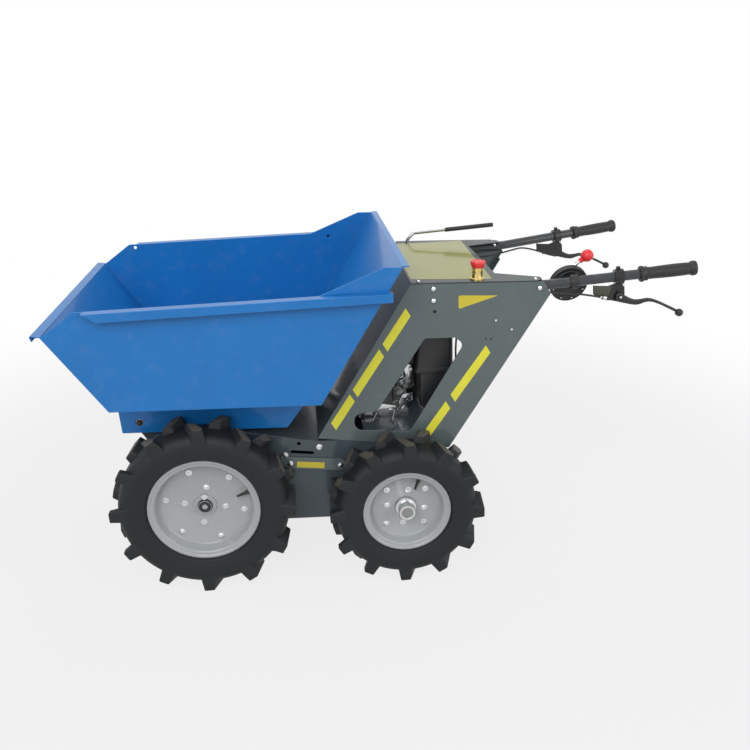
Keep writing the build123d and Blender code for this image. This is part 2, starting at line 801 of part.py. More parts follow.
with BuildPart() as governor_linkage:
    # Control plate on two posts, with the governor's arm and its link rod
    plate_y = 104
    arm_x = engine_middle_x + 6
    with BuildSketch(side_plane(plate_y)):
        with Locations((engine_middle_x - 12, crank_z + 14)):
            RectangleRounded(76, 20, 4)
    extrude(amount=4)
    for x in (-38, 14):
        with BuildSketch(side_plane(plate_y - 4)):
            with Locations((engine_middle_x + x, crank_z + 14)):
                Circle(6)
        extrude(amount=plate_y - 4 - crankcase_radius)
    with BuildSketch(side_plane(plate_y + 4)):
        with BuildLine():
            Polyline((arm_x, crank_z - 70), (arm_x - 24, crank_z + 62), (arm_x - 16, crank_z + 62),
                     (arm_x + 12, crank_z - 70), close=True)
        make_face()
    extrude(amount=4)
    with BuildSketch(side_plane(plate_y + 4)):
        with Locations((arm_x + 5, crank_z - 62)):
            Circle(9)
    extrude(amount=plate_y + 4 - 88)
write(governor_linkage, "governor_linkage")

with BuildPart() as muffler:
    # Louvred box on a saddle that fits the crankcase
    muffler_z = crank_z + crankcase_radius + 6
    with BuildSketch(Plane.XY.offset(muffler_z)):
        with Locations((bore_x + 6, -66)):
            RectangleRounded(96, 92, 14)
    extrude(amount=62)
    with BuildSketch(side_plane(-106)):
        with Locations((bore_x + 6, muffler_z + 31)):
            with GridLocations(13, 0, 6, 1):
                SlotOverall(44, 5, rotation=90)
    extrude(amount=12, mode=Mode.SUBTRACT)
    with BuildSketch(crank_plane(bore_x - 5)):
        with Locations((-48, 0)):
            Rectangle(30, crankcase_radius + 6, align=(Align.CENTER, Align.MIN))
        Circle(crankcase_radius, mode=Mode.SUBTRACT)
    extrude(amount=30)
write(muffler, "muffler")

with BuildPart() as belt_guard:
    # Housing of the drive from the crankshaft down to the gearbox
    with BuildSketch(crank_plane(engine_front_x + 8)):
        Circle(44)
        with Locations((100, deck_top_z + 42 - crank_z)):
            Circle(42)
        make_hull()
    extrude(amount=18)
write(belt_guard, "belt_guard")

with BuildPart() as gearbox:
    with BuildSketch(Plane.XY.offset(frame_bottom_z + frame_sheet)):
        Rectangle(220, 240)
    extrude(amount=180)
write(gearbox, "gearbox")

# ---- Handles ----------------------------------------------------------------------------------------
handle_y = frame_outer_y - handle_radius
handle_route = [
    (handle_root_x, handle_y, console_top_z - handle_root_drop),
    (handle_bend_x, handle_y, console_top_z - handle_bend_drop),
    (handle_end_x, handle_end_y, handle_end_z),
]
handle_bend, handle_end = [Vector(*point) for point in handle_route[1:]]


def handle_plane(x):
    """Plane square to the splayed stretch of the left handle at the given x, facing its end."""
    along = (handle_end - handle_bend).normalized()
    share = (x - handle_bend.X) / (handle_end.X - handle_bend.X)
    return Plane(origin=handle_bend + (handle_end - handle_bend) * share, x_dir=(0, 1, 0), z_dir=along)


with BuildPart() as handlebar:
    # Bent tube, bolted inside the console and splayed out to its grip
    with BuildLine() as path:
        FilletPolyline(*handle_route, radius=90)
    with BuildSketch(Plane(origin=path.line @ 0, z_dir=path.line % 0)):
        Circle(handle_radius)
    sweep()
write_pair(handlebar, "handlebar")

with BuildPart() as grip:
    # Collar at the root, ribbed sleeve and flange at the end
    grip_start = handle_plane(handle_end_x + grip_length)
    for begin, length, outer in ((0, 16, 20.0), (16, 108, grip_radius), (124, 14, 18.5)):
        with BuildSketch(grip_start.offset(begin)):
            Circle(outer)
            Circle(handle_radius + pin_clearance, mode=Mode.SUBTRACT)
        extrude(amount=length)
write_pair(grip, "grip")

# ---- Hand levers --------------------------------------------------------------------------------------
lever_pivot = (-618, 752)
lever_plate_y = 243.0
with BuildPart() as lever_bracket:
    # Clamp round the handle, hanging plate, cable adjuster and the lever's pivot bolt
    with BuildSketch(handle_plane(-600)):
        Circle(19)
        Circle(handle_radius + pin_clearance, mode=Mode.SUBTRACT)
    extrude(amount=22)
    with BuildSketch(side_plane(lever_plate_y)):
        with BuildLine():
            Polyline(
                (-549, 780), (-552, 757), (-591, 743), (-612, 738), (-630, 742), (-633, 757),
                (-630, 776), (-621, 785), (-606, 785), (-588, 778), close=True,
            )
        make_face()
    extrude(amount=lever_plate)
    with BuildSketch(Plane(origin=(-592, lever_plate_y + 3.5, 747), z_dir=(1, 0, 0.2))):
        Circle(5)
    extrude(amount=20)
    bolt_reach = lever_plate + lever_blade + 2
    with BuildSketch(side_plane(lever_plate_y - lever_plate + bolt_reach)):
        with Locations(lever_pivot):
            Circle(4)
    extrude(amount=bolt_reach)
write_pair(lever_bracket, "lever_bracket")

with BuildPart() as hand_lever:
    # Tapering double-curved blade with its pivot eye and end knob
    blade_y = lever_plate_y + rest_gap + lever_blade
    knob = Vector(-781, blade_y - lever_blade / 2, 706)
    with BuildSketch(side_plane(blade_y)):
        with BuildLine():
            Spline((-612, 762), (-634, 753), (-658, 742.5), (-691, 746.5), (-721, 739), (-776, 713))
            Line((-776, 713), (-773, 706))
            Spline((-773, 706), (-730, 728), (-695, 737.5), (-666, 728.7), (-640, 733), (-608, 740))
            Line((-608, 740), (-612, 762))
        make_face()
        with Locations(lever_pivot):
            Circle(11)
            Circle(4 + pin_clearance, mode=Mode.SUBTRACT)
    extrude(amount=lever_blade)
    add_knob(knob, (-55, 0, -25), lever_knob_radius)
write_pair(hand_lever, "hand_lever")

# ---- Throttle -----------------------------------------------------------------------------------------
throttle_centre = Vector(-503, 196, 772)
throttle_knob_centre = Vector(-541, 201, 848)
throttle_foot = Vector(-514, 196, 823.5)
throttle_along = (throttle_knob_centre - throttle_foot).normalized()
knob_radius = 15
knob_neck = throttle_knob_centre - throttle_along * (knob_radius + 9)
throttle_face = Plane(origin=throttle_centre, x_dir=(1, 0, 0), z_dir=(0, -1, 0.26))
with BuildPart() as throttle_housing:
    # Drum of the friction lever and the moulded clamp that holds it to the left handle
    with BuildSketch(throttle_face):
        Circle(48)
    extrude(amount=14)
    with BuildSketch(throttle_face.offset(14)):
        Circle(40)
    extrude(amount=6)
    clamp = handle_plane(-492)
    with BuildSketch(side_plane(clamp.origin.Y - 14)):
        with Locations((clamp.origin.X - 10, clamp.origin.Z)):
            Rectangle(20, 14)
    extrude(amount=20)
    with BuildSketch(clamp):
        Circle(18)
    extrude(amount=20)
    with BuildSketch(clamp.offset(-1)):
        Circle(handle_radius + pin_clearance)
    extrude(amount=22, mode=Mode.SUBTRACT)
write(throttle_housing, "throttle_housing")

with BuildPart() as throttle_lever:
    with BuildSketch(Plane(origin=throttle_foot, z_dir=throttle_along)):
        Circle(4.5)
    extrude(amount=(knob_neck - throttle_foot).length)
write(throttle_lever, "throttle_lever")

with BuildPart() as throttle_knob:
    with BuildSketch(Plane(origin=knob_neck, z_dir=throttle_along)):
        Circle(6.5)
    extrude(amount=knob_radius + 9)
    add_knob(throttle_knob_centre, throttle_along, knob_radius)
write(throttle_knob, "throttle_knob")

# ---- Top of the console ---------------------------------------------------------------------------------
release_y = -console_outer_y + control_inset
release_foot_x = console_top_front_x - 56
release_grip_x = release_foot_x - 113
release_end_x = release_foot_x - 258
release_radius = 4.5
release_bend = Vector(release_foot_x - 17, release_y, console_top_z + 28)
release_end = Vector(release_end_x, release_y, console_top_z + 50)
grip_share = (release_bend.X - release_grip_x) / (release_bend.X - release_end_x)
release_grip_start = release_bend + (release_end - release_bend) * grip_share
with BuildPart() as release_lever:
    with BuildLine() as path:
        FilletPolyline(
            (release_foot_x, release_y, console_top_z), (release_foot_x, release_y, console_top_z + 7),
            release_bend, release_grip_start, radius=9,
        )
    with BuildSketch(Plane.XY.offset(console_top_z)):
        with Locations((release_foot_x, release_y)):
            Circle(release_radius)
    sweep()
write(release_lever, "release_lever")

with BuildPart() as release_grip:
    with BuildSketch(Plane(origin=release_grip_start, z_dir=release_end - release_grip_start)):
        Circle(6.3)
    extrude(amount=(release_end - release_grip_start).length)
write(release_grip, "release_grip")

filler_x = console_top_rear_x + 163.5
filler_y = console_outer_y - control_inset
neck_height = 30
cap_height = 17
with BuildPart() as filler_neck:
    # Tube on a wider foot ring
    for height, size in ((5, 18), (neck_height, 14)):
        with BuildSketch(Plane.XY.offset(console_top_z)):
            with Locations((filler_x, filler_y)):
                Circle(size)
        extrude(amount=height)
write(filler_neck, "filler_neck")

with BuildPart() as filler_cap:
    # Cap that widens upwards from its collar
    with BuildSketch(Plane.XY.offset(console_top_z + neck_height)):
        with Locations((filler_x, filler_y)):
            Circle(14.5)
    extrude(amount=cap_height / 2, taper=-20)
    with BuildSketch(Plane.XY.offset(console_top_z + neck_height + cap_height / 2)):
        with Locations((filler_x, filler_y)):
            Circle(19)
    extrude(amount=cap_height / 2)
write(filler_cap, "filler_cap")


# ---- Cables -----------------------------------------------------------------------------------------------
def make_cable(route):
    """Sheathed cable along straight runs and the widest arcs that they allow."""
    points = [Vector(*point) for point in route]
    runs = [after - before for before, after in zip(points, points[1:])]
    radii = [
        0.45 * min(first.length, second.length)
        / math.tan(math.radians(first.get_angle(second)) / 2)
        for first, second in zip(runs, runs[1:])
    ]
    with BuildPart() as cable:
        with BuildLine() as path:
            FilletPolyline(*points, radius=radii)
        with BuildSketch(Plane(origin=path.line @ 0, z_dir=path.line % 0)):
            Circle(cable_radius)
        sweep()
    length = sum(edge.length for edge in path.edges())
    fill = cable.part.volume / (math.pi * cable_radius**2 * length)
    print("cable", round(length), "mm, least radius", round(min(radii)), "fill", round(fill, 4))
    return cable


# From the lever's adjuster under the handle into the console and down to the deck
left_cable_route = [
    (-572, 246.5, 751), (-538, 244, 756.5), (-495, 234, 760), (-445, 220, 759), (-392, 212, 753),
    (-338, 210.5, 747), (-284, 209, 736), (-240, 208, 709), (-216, 207, 664), (-214, 207, 606),
    (-220, 206, 548), (-212, 201, 492), (-178, 192, 445), (-158, 187, 406), (-158, 187, 369),
]
right_cable_route = [
    (-572, -246.5, 751), (-538, -243.5, 762), (-500, -235, 770), (-458, -218, 764), (-410, -209, 754),
    (-356, -206, 748), (-302, -205, 738), (-256, -204, 711), (-230, -203, 666), (-226, -202, 608),
    (-230, -201, 550), (-220, -198, 492), (-182, -191, 445), (-158, -187, 406), (-158, -187, 369),
]
write(make_cable(left_cable_route), "clutch_cable_left")
write(make_cable(right_cable_route), "clutch_cable_right")
# From the throttle drum over the air filter down to the carburettor's shaft
throttle_cable_route = [
    (-457, 186, 748), (-414, 184, 744), (-366, 178, 736), (-312, 170, 720), (-254, 163, 704),
    (-196, 156, 697), (-140, 148, 690), (-95, 140, 670), (-65, 134, 643), (-58, 133, 618),
    (-58, 133, 593),
]
write(make_cable(throttle_cable_route), "throttle_cable")
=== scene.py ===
"""Dresses the site dumper's frame: lugged tyres, pressed rims, fittings, finishes and a studio.

+X points forward to the skip's lip, +Y to the left side and +Z up. Lengths are metres, and the
tables are in millimetres, which mm, at() and in_mm() turn into metres. Paired pieces are made on
the left side and mirrored to the right.
"""
import json
import math

import bmesh
import bpy
from bpy.props import FloatProperty, FloatVectorProperty, IntProperty, PointerProperty
from mathutils import Matrix, Vector

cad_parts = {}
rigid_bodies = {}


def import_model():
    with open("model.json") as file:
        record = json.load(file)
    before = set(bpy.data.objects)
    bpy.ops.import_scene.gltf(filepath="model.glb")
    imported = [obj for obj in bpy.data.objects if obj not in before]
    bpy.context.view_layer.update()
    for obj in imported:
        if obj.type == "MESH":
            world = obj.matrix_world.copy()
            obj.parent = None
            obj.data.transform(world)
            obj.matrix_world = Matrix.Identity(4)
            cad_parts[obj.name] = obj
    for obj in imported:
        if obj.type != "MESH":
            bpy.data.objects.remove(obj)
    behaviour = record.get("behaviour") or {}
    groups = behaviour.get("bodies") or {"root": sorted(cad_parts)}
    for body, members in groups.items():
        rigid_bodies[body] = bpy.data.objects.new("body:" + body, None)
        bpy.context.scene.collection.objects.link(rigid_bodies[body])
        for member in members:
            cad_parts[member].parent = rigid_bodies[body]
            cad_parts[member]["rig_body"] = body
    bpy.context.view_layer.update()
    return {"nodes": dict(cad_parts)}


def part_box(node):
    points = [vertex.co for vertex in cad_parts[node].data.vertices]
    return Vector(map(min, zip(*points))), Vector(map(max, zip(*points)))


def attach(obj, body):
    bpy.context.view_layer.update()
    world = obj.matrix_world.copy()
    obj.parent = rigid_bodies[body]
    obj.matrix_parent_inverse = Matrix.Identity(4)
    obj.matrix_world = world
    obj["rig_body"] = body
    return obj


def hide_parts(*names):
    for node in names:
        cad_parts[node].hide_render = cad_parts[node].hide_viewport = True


bl_info = {
    "name": "Site dumper looks",
    "version": (1, 0, 0),
    "blender": (4, 5, 0),
    "location": "3D View > Sidebar > Dumper",
    "description": "Builds the dumper's tyres, rims, fittings, finishes and studio on its frame",
    "category": "Object",
}

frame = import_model()
nodes = frame["nodes"]
mm = 0.001
leftwards = (0, 1, 0)
upwards = (0, 0, 1)


def at(*place):
    """A place or step given in millimetres."""
    return Vector(place) * mm


def in_mm(points):
    """Points given in millimetres, as lengths in metres."""
    return [tuple(value * mm for value in point) for point in points]


def middle_of(node):
    """Centre of a node's box."""
    low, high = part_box(node)
    return (low + high) / 2


def size_of(node):
    """Lengths of a node's box."""
    low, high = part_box(node)
    return high - low


def linear(*levels):
    """Screen colour, 0 to 255 a channel, as the linear colour that shaders take."""
    shares = [level / 255 for level in levels]
    return [s / 12.92 if s <= 0.04045 else ((s + 0.055) / 1.055) ** 2.4 for s in shares]


# ---- Sizes and colours ----
def length(name, description, default):
    """A size in metres that the panel shows with its unit."""
    return FloatProperty(
        name=name, description=description, default=default, min=0, unit="LENGTH", precision=4
    )


def colour(name, description, *levels):
    """A colour that the panel shows as a swatch, given as screen levels."""
    return FloatVectorProperty(
        name=name, description=description, default=linear(*levels), min=0, max=1, subtype="COLOR"
    )


class DumperSizes(bpy.types.PropertyGroup):
    """Sizes of what the looks add to the frame."""

    lugs: IntProperty(name="Lugs", description="Lugs in one row of a tyre", default=12, min=6)
    lug_height: length("Lug height", "Rise of a lug over the tread", 16 * mm)
    lug_edge: length("Lug edge", "Rounding of a lug's edges", 2.8 * mm)
    sheet_edge: length("Sheet edge", "Rounding of folded sheet edges", 1.3 * mm)
    bolt: length("Bolt", "Width of the commonest hexagon heads across their flats", 10 * mm)
    stripe: length("Stripe", "Width of the stripes on the console", 22 * mm)
    weld: length("Weld", "Radius of a weld bead", 1.6 * mm)


class DumperColours(bpy.types.PropertyGroup):
    """Colours of the finishes."""

    skip: colour("Skip", "Paint of the skip and its subframe", 25, 112, 184)
    console: colour("Console", "Paint of the console's plates", 87, 98, 99)
    chassis: colour("Chassis", "Paint of the chassis", 64, 75, 81)
    rubber: colour("Rubber", "Tyres", 23, 25, 27)
    rim: colour("Rim", "Paint of the rims", 163, 167, 168)
    stripe: colour("Stripe", "Stripes and stickers", 226, 220, 66)
    plate: colour("Plate", "Film on top of the console", 146, 146, 66)
    red: colour("Red", "Filler cap and throttle knob", 222, 46, 50)
    plastic: colour("Plastic", "Grips and moulded covers", 26, 27, 29)


def sizes():
    return bpy.context.scene.dumper_sizes


def colours():
    return bpy.context.scene.dumper_colours


# ---- Shader building ----
class Signal:
    """A number from a node's socket. Arithmetic on it adds Math nodes."""

    def __init__(self, shading, socket):
        self.shading = shading
        self.socket = socket

    def math(self, operation, *values):
        settings = {"operation": operation}
        made = self.shading.node("ShaderNodeMath", settings, dict(enumerate(values)))
        return Signal(self.shading, made.outputs[0])

    def __add__(self, other):
        return self.math("ADD", self, other)

    def __rsub__(self, other):
        return self.math("SUBTRACT", other, self)

    def __mul__(self, other):
        return self.math("MULTIPLY", self, other)

    def above(self, low, high):
        """0 below low, 1 above high and smooth between them."""
        settings = {"interpolation_type": "SMOOTHSTEP"}
        values = {"Value": self, "From Min": low, "From Max": high}
        made = self.shading.node("ShaderNodeMapRange", settings, values)
        return Signal(self.shading, made.outputs[0])

    __radd__ = __add__
    __rmul__ = __mul__


class Shading:
    """A node tree, and the ways to add to it."""

    def __init__(self, tree):
        self.tree = tree

    def node(self, kind, settings=None, values=None):
        """Adds a node: its settings first, then the values or links of its sockets."""
        made = self.tree.nodes.new(kind)
        for setting, value in (settings or {}).items():
            setattr(made, setting, value)
        for socket, value in (values or {}).items():
            self.give(made.inputs[socket], value)
        return made

    def give(self, socket, value):
        """Links a socket to a signal or to another socket, or sets its value."""
        if isinstance(value, Signal):
            value = value.socket
        if isinstance(value, bpy.types.NodeSocket):
            self.tree.links.new(value, socket)
        elif socket.type == "RGBA":
            socket.default_value = (*value, 1)
        else:
            socket.default_value = value

    def show_blend(self, share, first, second):
        """Gives the tree's output two shaders, blended by a share."""
        blend = self.node("ShaderNodeMixShader", values={0: share, 1: first, 2: second})
        output = next(node for node in self.tree.nodes if node.type.startswith("OUTPUT"))
        self.give(output.inputs[0], blend.outputs[0])

    def seen_by(self, *rays):
        """1 for the kinds of ray that are named and 0 for those that light the object."""
        path = self.node("ShaderNodeLightPath")
        first, *others = [Signal(self, path.outputs[f"Is {ray} Ray"]) for ray in rays]
        for other in others:
            first = first.math("MAXIMUM", first, other)
        return first


class Finish(Shading):
    """A material: a Principled shader and the nodes that vary it over the surface."""

    def __init__(self, name, base, roughness, **constants):
        self.material = bpy.data.materials.new(f"{name}_finish")
        self.material.use_nodes = True
        self.material.diffuse_color = (*base, 1)
        super().__init__(self.material.node_tree)
        self.shader = self.tree.nodes["Principled BSDF"]
        self.place = self.node("ShaderNodeTexCoord").outputs["Object"]
        self.feed("Base Color", base)
        self.feed("Roughness", roughness)
        for socket, value in constants.items():
            self.feed(socket.replace("_", " "), value)

    def feed(self, socket, value):
        self.give(self.shader.inputs[socket], value)

    def noise(self, size, detail):
        """Soft random pattern whose blobs are about size across."""
        values = {"Vector": self.place, "Scale": 1 / size, "Detail": detail}
        return Signal(self, self.node("ShaderNodeTexNoise", values=values).outputs[0])

    def grains(self, size):
        """Distance from scattered grains that lie about size apart."""
        values = {"Vector": self.place, "Scale": 1 / size}
        return Signal(self, self.node("ShaderNodeTexVoronoi", values=values).outputs["Distance"])

    def edges(self, width):
        """1 on the surface's edges and 0 where it is flat."""
        bent = self.node("ShaderNodeBevel", {"samples": 4}, {"Radius": width}).outputs[0]
        true = self.node("ShaderNodeNewGeometry").outputs["Normal"]
        made = self.node("ShaderNodeVectorMath", {"operation": "DOT_PRODUCT"}, {0: bent, 1: true})
        return (1 - Signal(self, made.outputs["Value"])).above(0.02, 0.25)

    def mix(self, share, first, second):
        """Colour between two others."""
        values = {0: share, 6: first, 7: second}
        return self.node("ShaderNodeMix", {"data_type": "RGBA"}, values).outputs[2]

    def relief(self, height, depth):
        """Bumps the surface by a signal times depth."""
        values = {"Height": height, "Distance": depth, "Strength": 1}
        self.feed("Normal", self.node("ShaderNodeBump", values=values).outputs[0])


def shade(base, share):
    """A colour made darker or lighter by a share."""
    return [min(1, level * share) for level in base]


# ---- Finishes ----
def patched(made, base, size, detail, dark, light):
    """Varies the base colour between two shades in soft patches, and gives the patches."""
    patch = made.noise(size, detail)
    made.feed("Base Color", made.mix(patch, shade(base, dark), shade(base, light)))
    return patch


def painted(name, base, roughness, gloss=0.6):
    """Sprayed gloss paint: orange peel, cloudy tone, thin dust, and edges lightened partly as wear
    from rubbing and partly as a painted highlight.
    """
    coat = {"Coat_Weight": gloss, "Coat_Roughness": 0.1, "Specular_IOR_Level": 0.2}
    made = Finish(name, base, roughness, **coat)
    cloud = made.noise(160 * mm, 3)
    dust = made.noise(30 * mm, 6).above(0.52, 0.78)
    # Lighter patches on the edges: partly wear from rubbing, partly a painted highlight along them
    rubbed_and_lit_edges = made.edges(1.1 * mm) * made.noise(12 * mm, 4).above(0.42, 0.6)
    tone = made.mix(cloud, shade(base, 0.9), shade(base, 1.1))
    dusty = made.mix(dust * 0.05, tone, linear(170, 168, 160))
    made.feed("Base Color", made.mix(rubbed_and_lit_edges * 0.35, dusty, shade(base, 1.7)))
    made.feed("Roughness", roughness + 0.07 * cloud + 0.12 * dust)
    made.relief(made.noise(1.4 * mm, 1), 0.01 * mm)
    return made


def metal(name, base, roughness, grain=0.4 * mm, depth=0.02 * mm):
    """Bare or plated metal with fine handling marks and duller patches."""
    made = Finish(name, base, roughness, Metallic=1.0)
    patch = patched(made, base, 20 * mm, 4, 0.8, 1.12)
    made.feed("Roughness", roughness * (0.7 + 0.6 * patch))
    made.relief(made.noise(grain, 2), depth)
    return made


def cast_metal(name, base, roughness):
    """Die casting: fine grain and oily dark patches at random."""
    made = Finish(name, base, roughness, Metallic=0.75)
    patch = made.noise(14 * mm, 5)
    made.feed("Base Color", made.mix(patch.above(0.4, 0.7), shade(base, 0.55), base))
    made.feed("Roughness", roughness + 0.2 * patch)
    made.relief(made.noise(0.9 * mm, 3), 0.12 * mm)
    return made


def moulded(name, base, roughness, grain=0.7 * mm, depth=0.04 * mm):
    """Moulded plastic or rubber with a fine texture."""
    made = Finish(name, base, roughness)
    patch = patched(made, base, 20 * mm, 4, 0.85, 1.2)
    made.feed("Roughness", roughness + 0.14 * patch)
    made.relief(made.grains(grain), depth)
    return made


def tyre_rubber(name, base, dust):
    """Matt rubber with fine moulding marks and a little dust of the given screen colour."""
    made = Finish(name, base, 0.62, Specular_IOR_Level=0.35)
    cloud = made.noise(45 * mm, 5)
    scuff = made.noise(4 * mm, 5).above(0.55, 0.75)
    tone = made.mix(cloud, shade(base, 0.75), shade(base, 1.35))
    made.feed("Base Color", made.mix(scuff * 0.2, tone, linear(*dust)))
    made.feed("Roughness", 0.5 + 0.22 * cloud + 0.12 * scuff)
    made.relief(made.noise(1.1 * mm, 4) + 0.6 * scuff, 0.12 * mm)
    return made


def film(name, base, roughness):
    """Printed vinyl film: flat colour under a clear face."""
    coat = {"Coat_Weight": 0.4, "Coat_Roughness": 0.05, "Specular_IOR_Level": 0.1}
    made = Finish(name, base, roughness, **coat)
    cloud = patched(made, base, 50 * mm, 3, 0.93, 1.04)
    made.feed("Roughness", roughness + 0.08 * cloud)
    made.relief(made.noise(12 * mm, 2), 0.05 * mm)
    return made


# Each finish: its maker, its colour and the maker's other values. The colour is one of the panel's
# with a share that shades it, or is given as screen levels.
finish_table = {
    "skip_paint": (painted, ("skip", 1), 0.34, 0.4),
    "console_paint": (painted, ("console", 1), 0.36),
    # The top panel's paint is the console's paint darkened to 0.42: painted shade on the upward
    # face
    "top_paint": (painted, ("console", 0.42), 0.42, 0.3),
    "chassis_paint": (painted, ("chassis", 1), 0.4),
    "rim_paint": (painted, ("rim", 1), 0.34, 0.8),
    "handle_paint": (painted, (50, 54, 58), 0.3, 0.7),
    "black_paint": (painted, (22, 23, 24), 0.32),
    "tyre_rubber": (tyre_rubber, ("rubber", 1), (62, 62, 60)),
    # The lugs' rubber is the tyre's lightened by 1.3: painted light from above, with a little dust
    "lug_rubber": (tyre_rubber, ("rubber", 1.3), (80, 79, 70)),
    # Lug tread faces lighter and browner: a painted highlight of light from above, with dust
    "tread_rubber": (tyre_rubber, (84, 80, 73), (128, 122, 108)),
    "grip_rubber": (moulded, ("plastic", 1), 0.44, 1.2 * mm, 0.03 * mm),
    "black_plastic": (moulded, ("plastic", 1), 0.42),
    "olive_plastic": (moulded, (64, 64, 52), 0.5),
    "cable_sheath": (moulded, (30, 30, 31), 0.38, 3 * mm, 0.02 * mm),
    "valve_rubber": (moulded, (24, 24, 24), 0.5),
    "bright_zinc": (metal, (214, 216, 218), 0.24),
    "dull_steel": (metal, (150, 150, 148), 0.42),
    "dark_steel": (metal, (84, 85, 86), 0.45),
    "chrome": (metal, (176, 178, 181), 0.16, 3 * mm, 0.004 * mm),
    "brass": (metal, (226, 202, 132), 0.24),
    "cast_alloy": (cast_metal, (198, 200, 200), 0.3),
    "engine_black": (cast_metal, (44, 45, 46), 0.4),
    "red_plastic": (moulded, ("red", 1), 0.24, 2 * mm, 0.01 * mm),
    "stripe_film": (film, ("stripe", 1), 0.4),
    "plate_film": (film, ("plate", 1), 0.16),
    "blank_label": (film, (206, 190, 62), 0.4),
    # Near-black discs that paint the shade inside holes
    "bore_dark": (moulded, (10, 10, 11), 0.7),
}
made_finishes = {}


def finish(name):
    """The material of that name, made the first time that it is asked for."""
    if name not in made_finishes:
        maker, given, *others = finish_table[name]
        if isinstance(given[0], str):
            base = shade(getattr(colours(), given[0]), given[1])
        else:
            base = linear(*given)
        made_finishes[name] = maker(name, base, *others).material
    return made_finishes[name]


# ---- Modelling helpers ----
# Each piece's body and the nodes that it stands for, by the piece's name
riders = {}
# How much further each bolt head is turned than the one before, in radians
bolt_turn = 0.7
# Steps in a turn of a spring, and the straight share at each of its ends
coil_steps = 10
coil_end = 0.12
# Gap under a film
film_gap = 0.03 * mm


def body_of_node(node):
    return nodes[node]["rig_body"]


def placed(name, data):
    """New object in the scene."""
    made = bpy.data.objects.new(name, data)
    bpy.context.scene.collection.objects.link(made)
    return made


def mesh_of(name, bm):
    """Mesh of a bmesh, which is used up."""
    mesh = bpy.data.meshes.new(name)
    bm.to_mesh(mesh)
    bm.free()
    return mesh


def add_piece(name, shape, coats, body, *stands_for):
    """Makes an object that rides on a body and may stand for frame nodes, and adds its finishes."""
    mesh = mesh_of(name, shape) if isinstance(shape, bmesh.types.BMesh) else shape
    made = placed(name, mesh)
    for coat in [coats] if isinstance(coats, str) else coats:
        mesh.materials.append(finish(coat))
    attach(made, body)
    if stands_for:
        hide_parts(*stands_for)
    riders[name] = (body, *stands_for)
    return made


def smooth_by_angle(bm, degrees=35):
    """Shades faces smooth and keeps edges over the angle sharp."""
    for face in bm.faces:
        face.smooth = True
    for edge in bm.edges:
        edge.smooth = edge.calc_face_angle(math.pi) < math.radians(degrees)


def close_and_point_out(bm, degrees=35):
    bmesh.ops.remove_doubles(bm, verts=bm.verts, dist=0.01 * mm)
    bmesh.ops.recalc_face_normals(bm, faces=bm.faces)
    smooth_by_angle(bm, degrees)
    return bm


def mirrored(piece):
    """The right side's twin of a left piece, on the right side's body and for its nodes."""
    mesh = piece.data.copy()
    mesh.transform(Matrix.Diagonal((1, -1, 1, 1)))
    mesh.flip_normals()
    words = (piece.name, *riders[piece.name])
    name, body, *stands_for = [word.replace("left", "right") for word in words]
    twin = add_piece(name, mesh, (), body, *stands_for)
    for modifier in piece.modifiers:
        copy_modifier(modifier, twin)


def copy_modifier(modifier, target):
    made = target.modifiers.new(modifier.name, modifier.type)
    for setting in modifier.bl_rna.properties:
        if not setting.is_readonly and setting.identifier not in ("name", "type"):
            setattr(made, setting.identifier, getattr(modifier, setting.identifier))


def rounded_copy(node, coat, width):
    """Merged copy of a node, its edges rounded by a live bevel, which then stands for the node."""
    bm = bmesh.new()
    bm.from_mesh(nodes[node].data)
    bmesh.ops.remove_doubles(bm, verts=bm.verts, dist=0.02 * mm)
    bmesh.ops.dissolve_limit(
        bm, angle_limit=math.radians(0.5), verts=bm.verts, edges=bm.edges,
        use_dissolve_boundaries=False,
    )
    smooth_by_angle(bm)
    made = add_piece(f"{node}_shape", bm, coat, body_of_node(node), node)
    if width:
        bevel = made.modifiers.new("edges", "BEVEL")
        bevel.width = width
        bevel.segments = 2
        bevel.limit_method = "ANGLE"
        bevel.angle_limit = math.radians(32)
        bevel.harden_normals = True
        bevel.use_clamp_overlap = False
    return made


def dress(coats):
    """Rounds and finishes the nodes of a table, under their finish and rounding in millimetres."""
    for (coat, width), names in coats.items():
        for node in names:
            rounded_copy(node, coat, sizes().sheet_edge if width == "sheet" else width * mm)


def facing(point, direction, turn=0.0):
    """Matrix that stands a shape's Z axis along a direction at a point."""
    stand = Vector(direction).to_track_quat("Z", "Y").to_matrix().to_4x4()
    return Matrix.Translation(Vector(point)) @ stand @ Matrix.Rotation(turn, 4, "Z")


def bevelled(bm, edges, width, segments=2):
    """Rounds some edges of a bmesh."""
    bmesh.ops.bevel(
        bm, geom=edges, offset=width, segments=segments, profile=0.5, affect="EDGES", material=-1
    )


def raised(bm, face, step):
    """Grows a face into a solid by a step."""
    grown = bmesh.ops.extrude_face_region(bm, geom=[face])
    tops = [v for v in grown["geom"] if isinstance(v, bmesh.types.BMVert)]
    bmesh.ops.translate(bm, verts=tops, vec=step)
    bmesh.ops.recalc_face_normals(bm, faces=bm.faces)


def spun(profile, steps=64, closed=False):
    """Shape turned round Z from (radius, height) points."""
    bm = bmesh.new()
    verts = [bm.verts.new((radius, 0, height)) for radius, height in profile]
    pairs = list(zip(verts, verts[1:])) + ([(verts[-1], verts[0])] if closed else [])
    edges = [bm.edges.new(pair) for pair in pairs]
    bmesh.ops.spin(
        bm, geom=verts + edges, cent=(0, 0, 0), axis=(0, 0, 1), dvec=(0, 0, 0), angle=math.tau,
        steps=steps, use_merge=True, use_normal_flip=False, use_duplicate=False,
    )
    return close_and_point_out(bm)


def joined(target, source, place):
    """Adds a placed copy of one bmesh to another."""
    mesh = bpy.data.meshes.new("part")
    source.to_mesh(mesh)
    mesh.transform(place)
    target.from_mesh(mesh)
    bpy.data.meshes.remove(mesh)


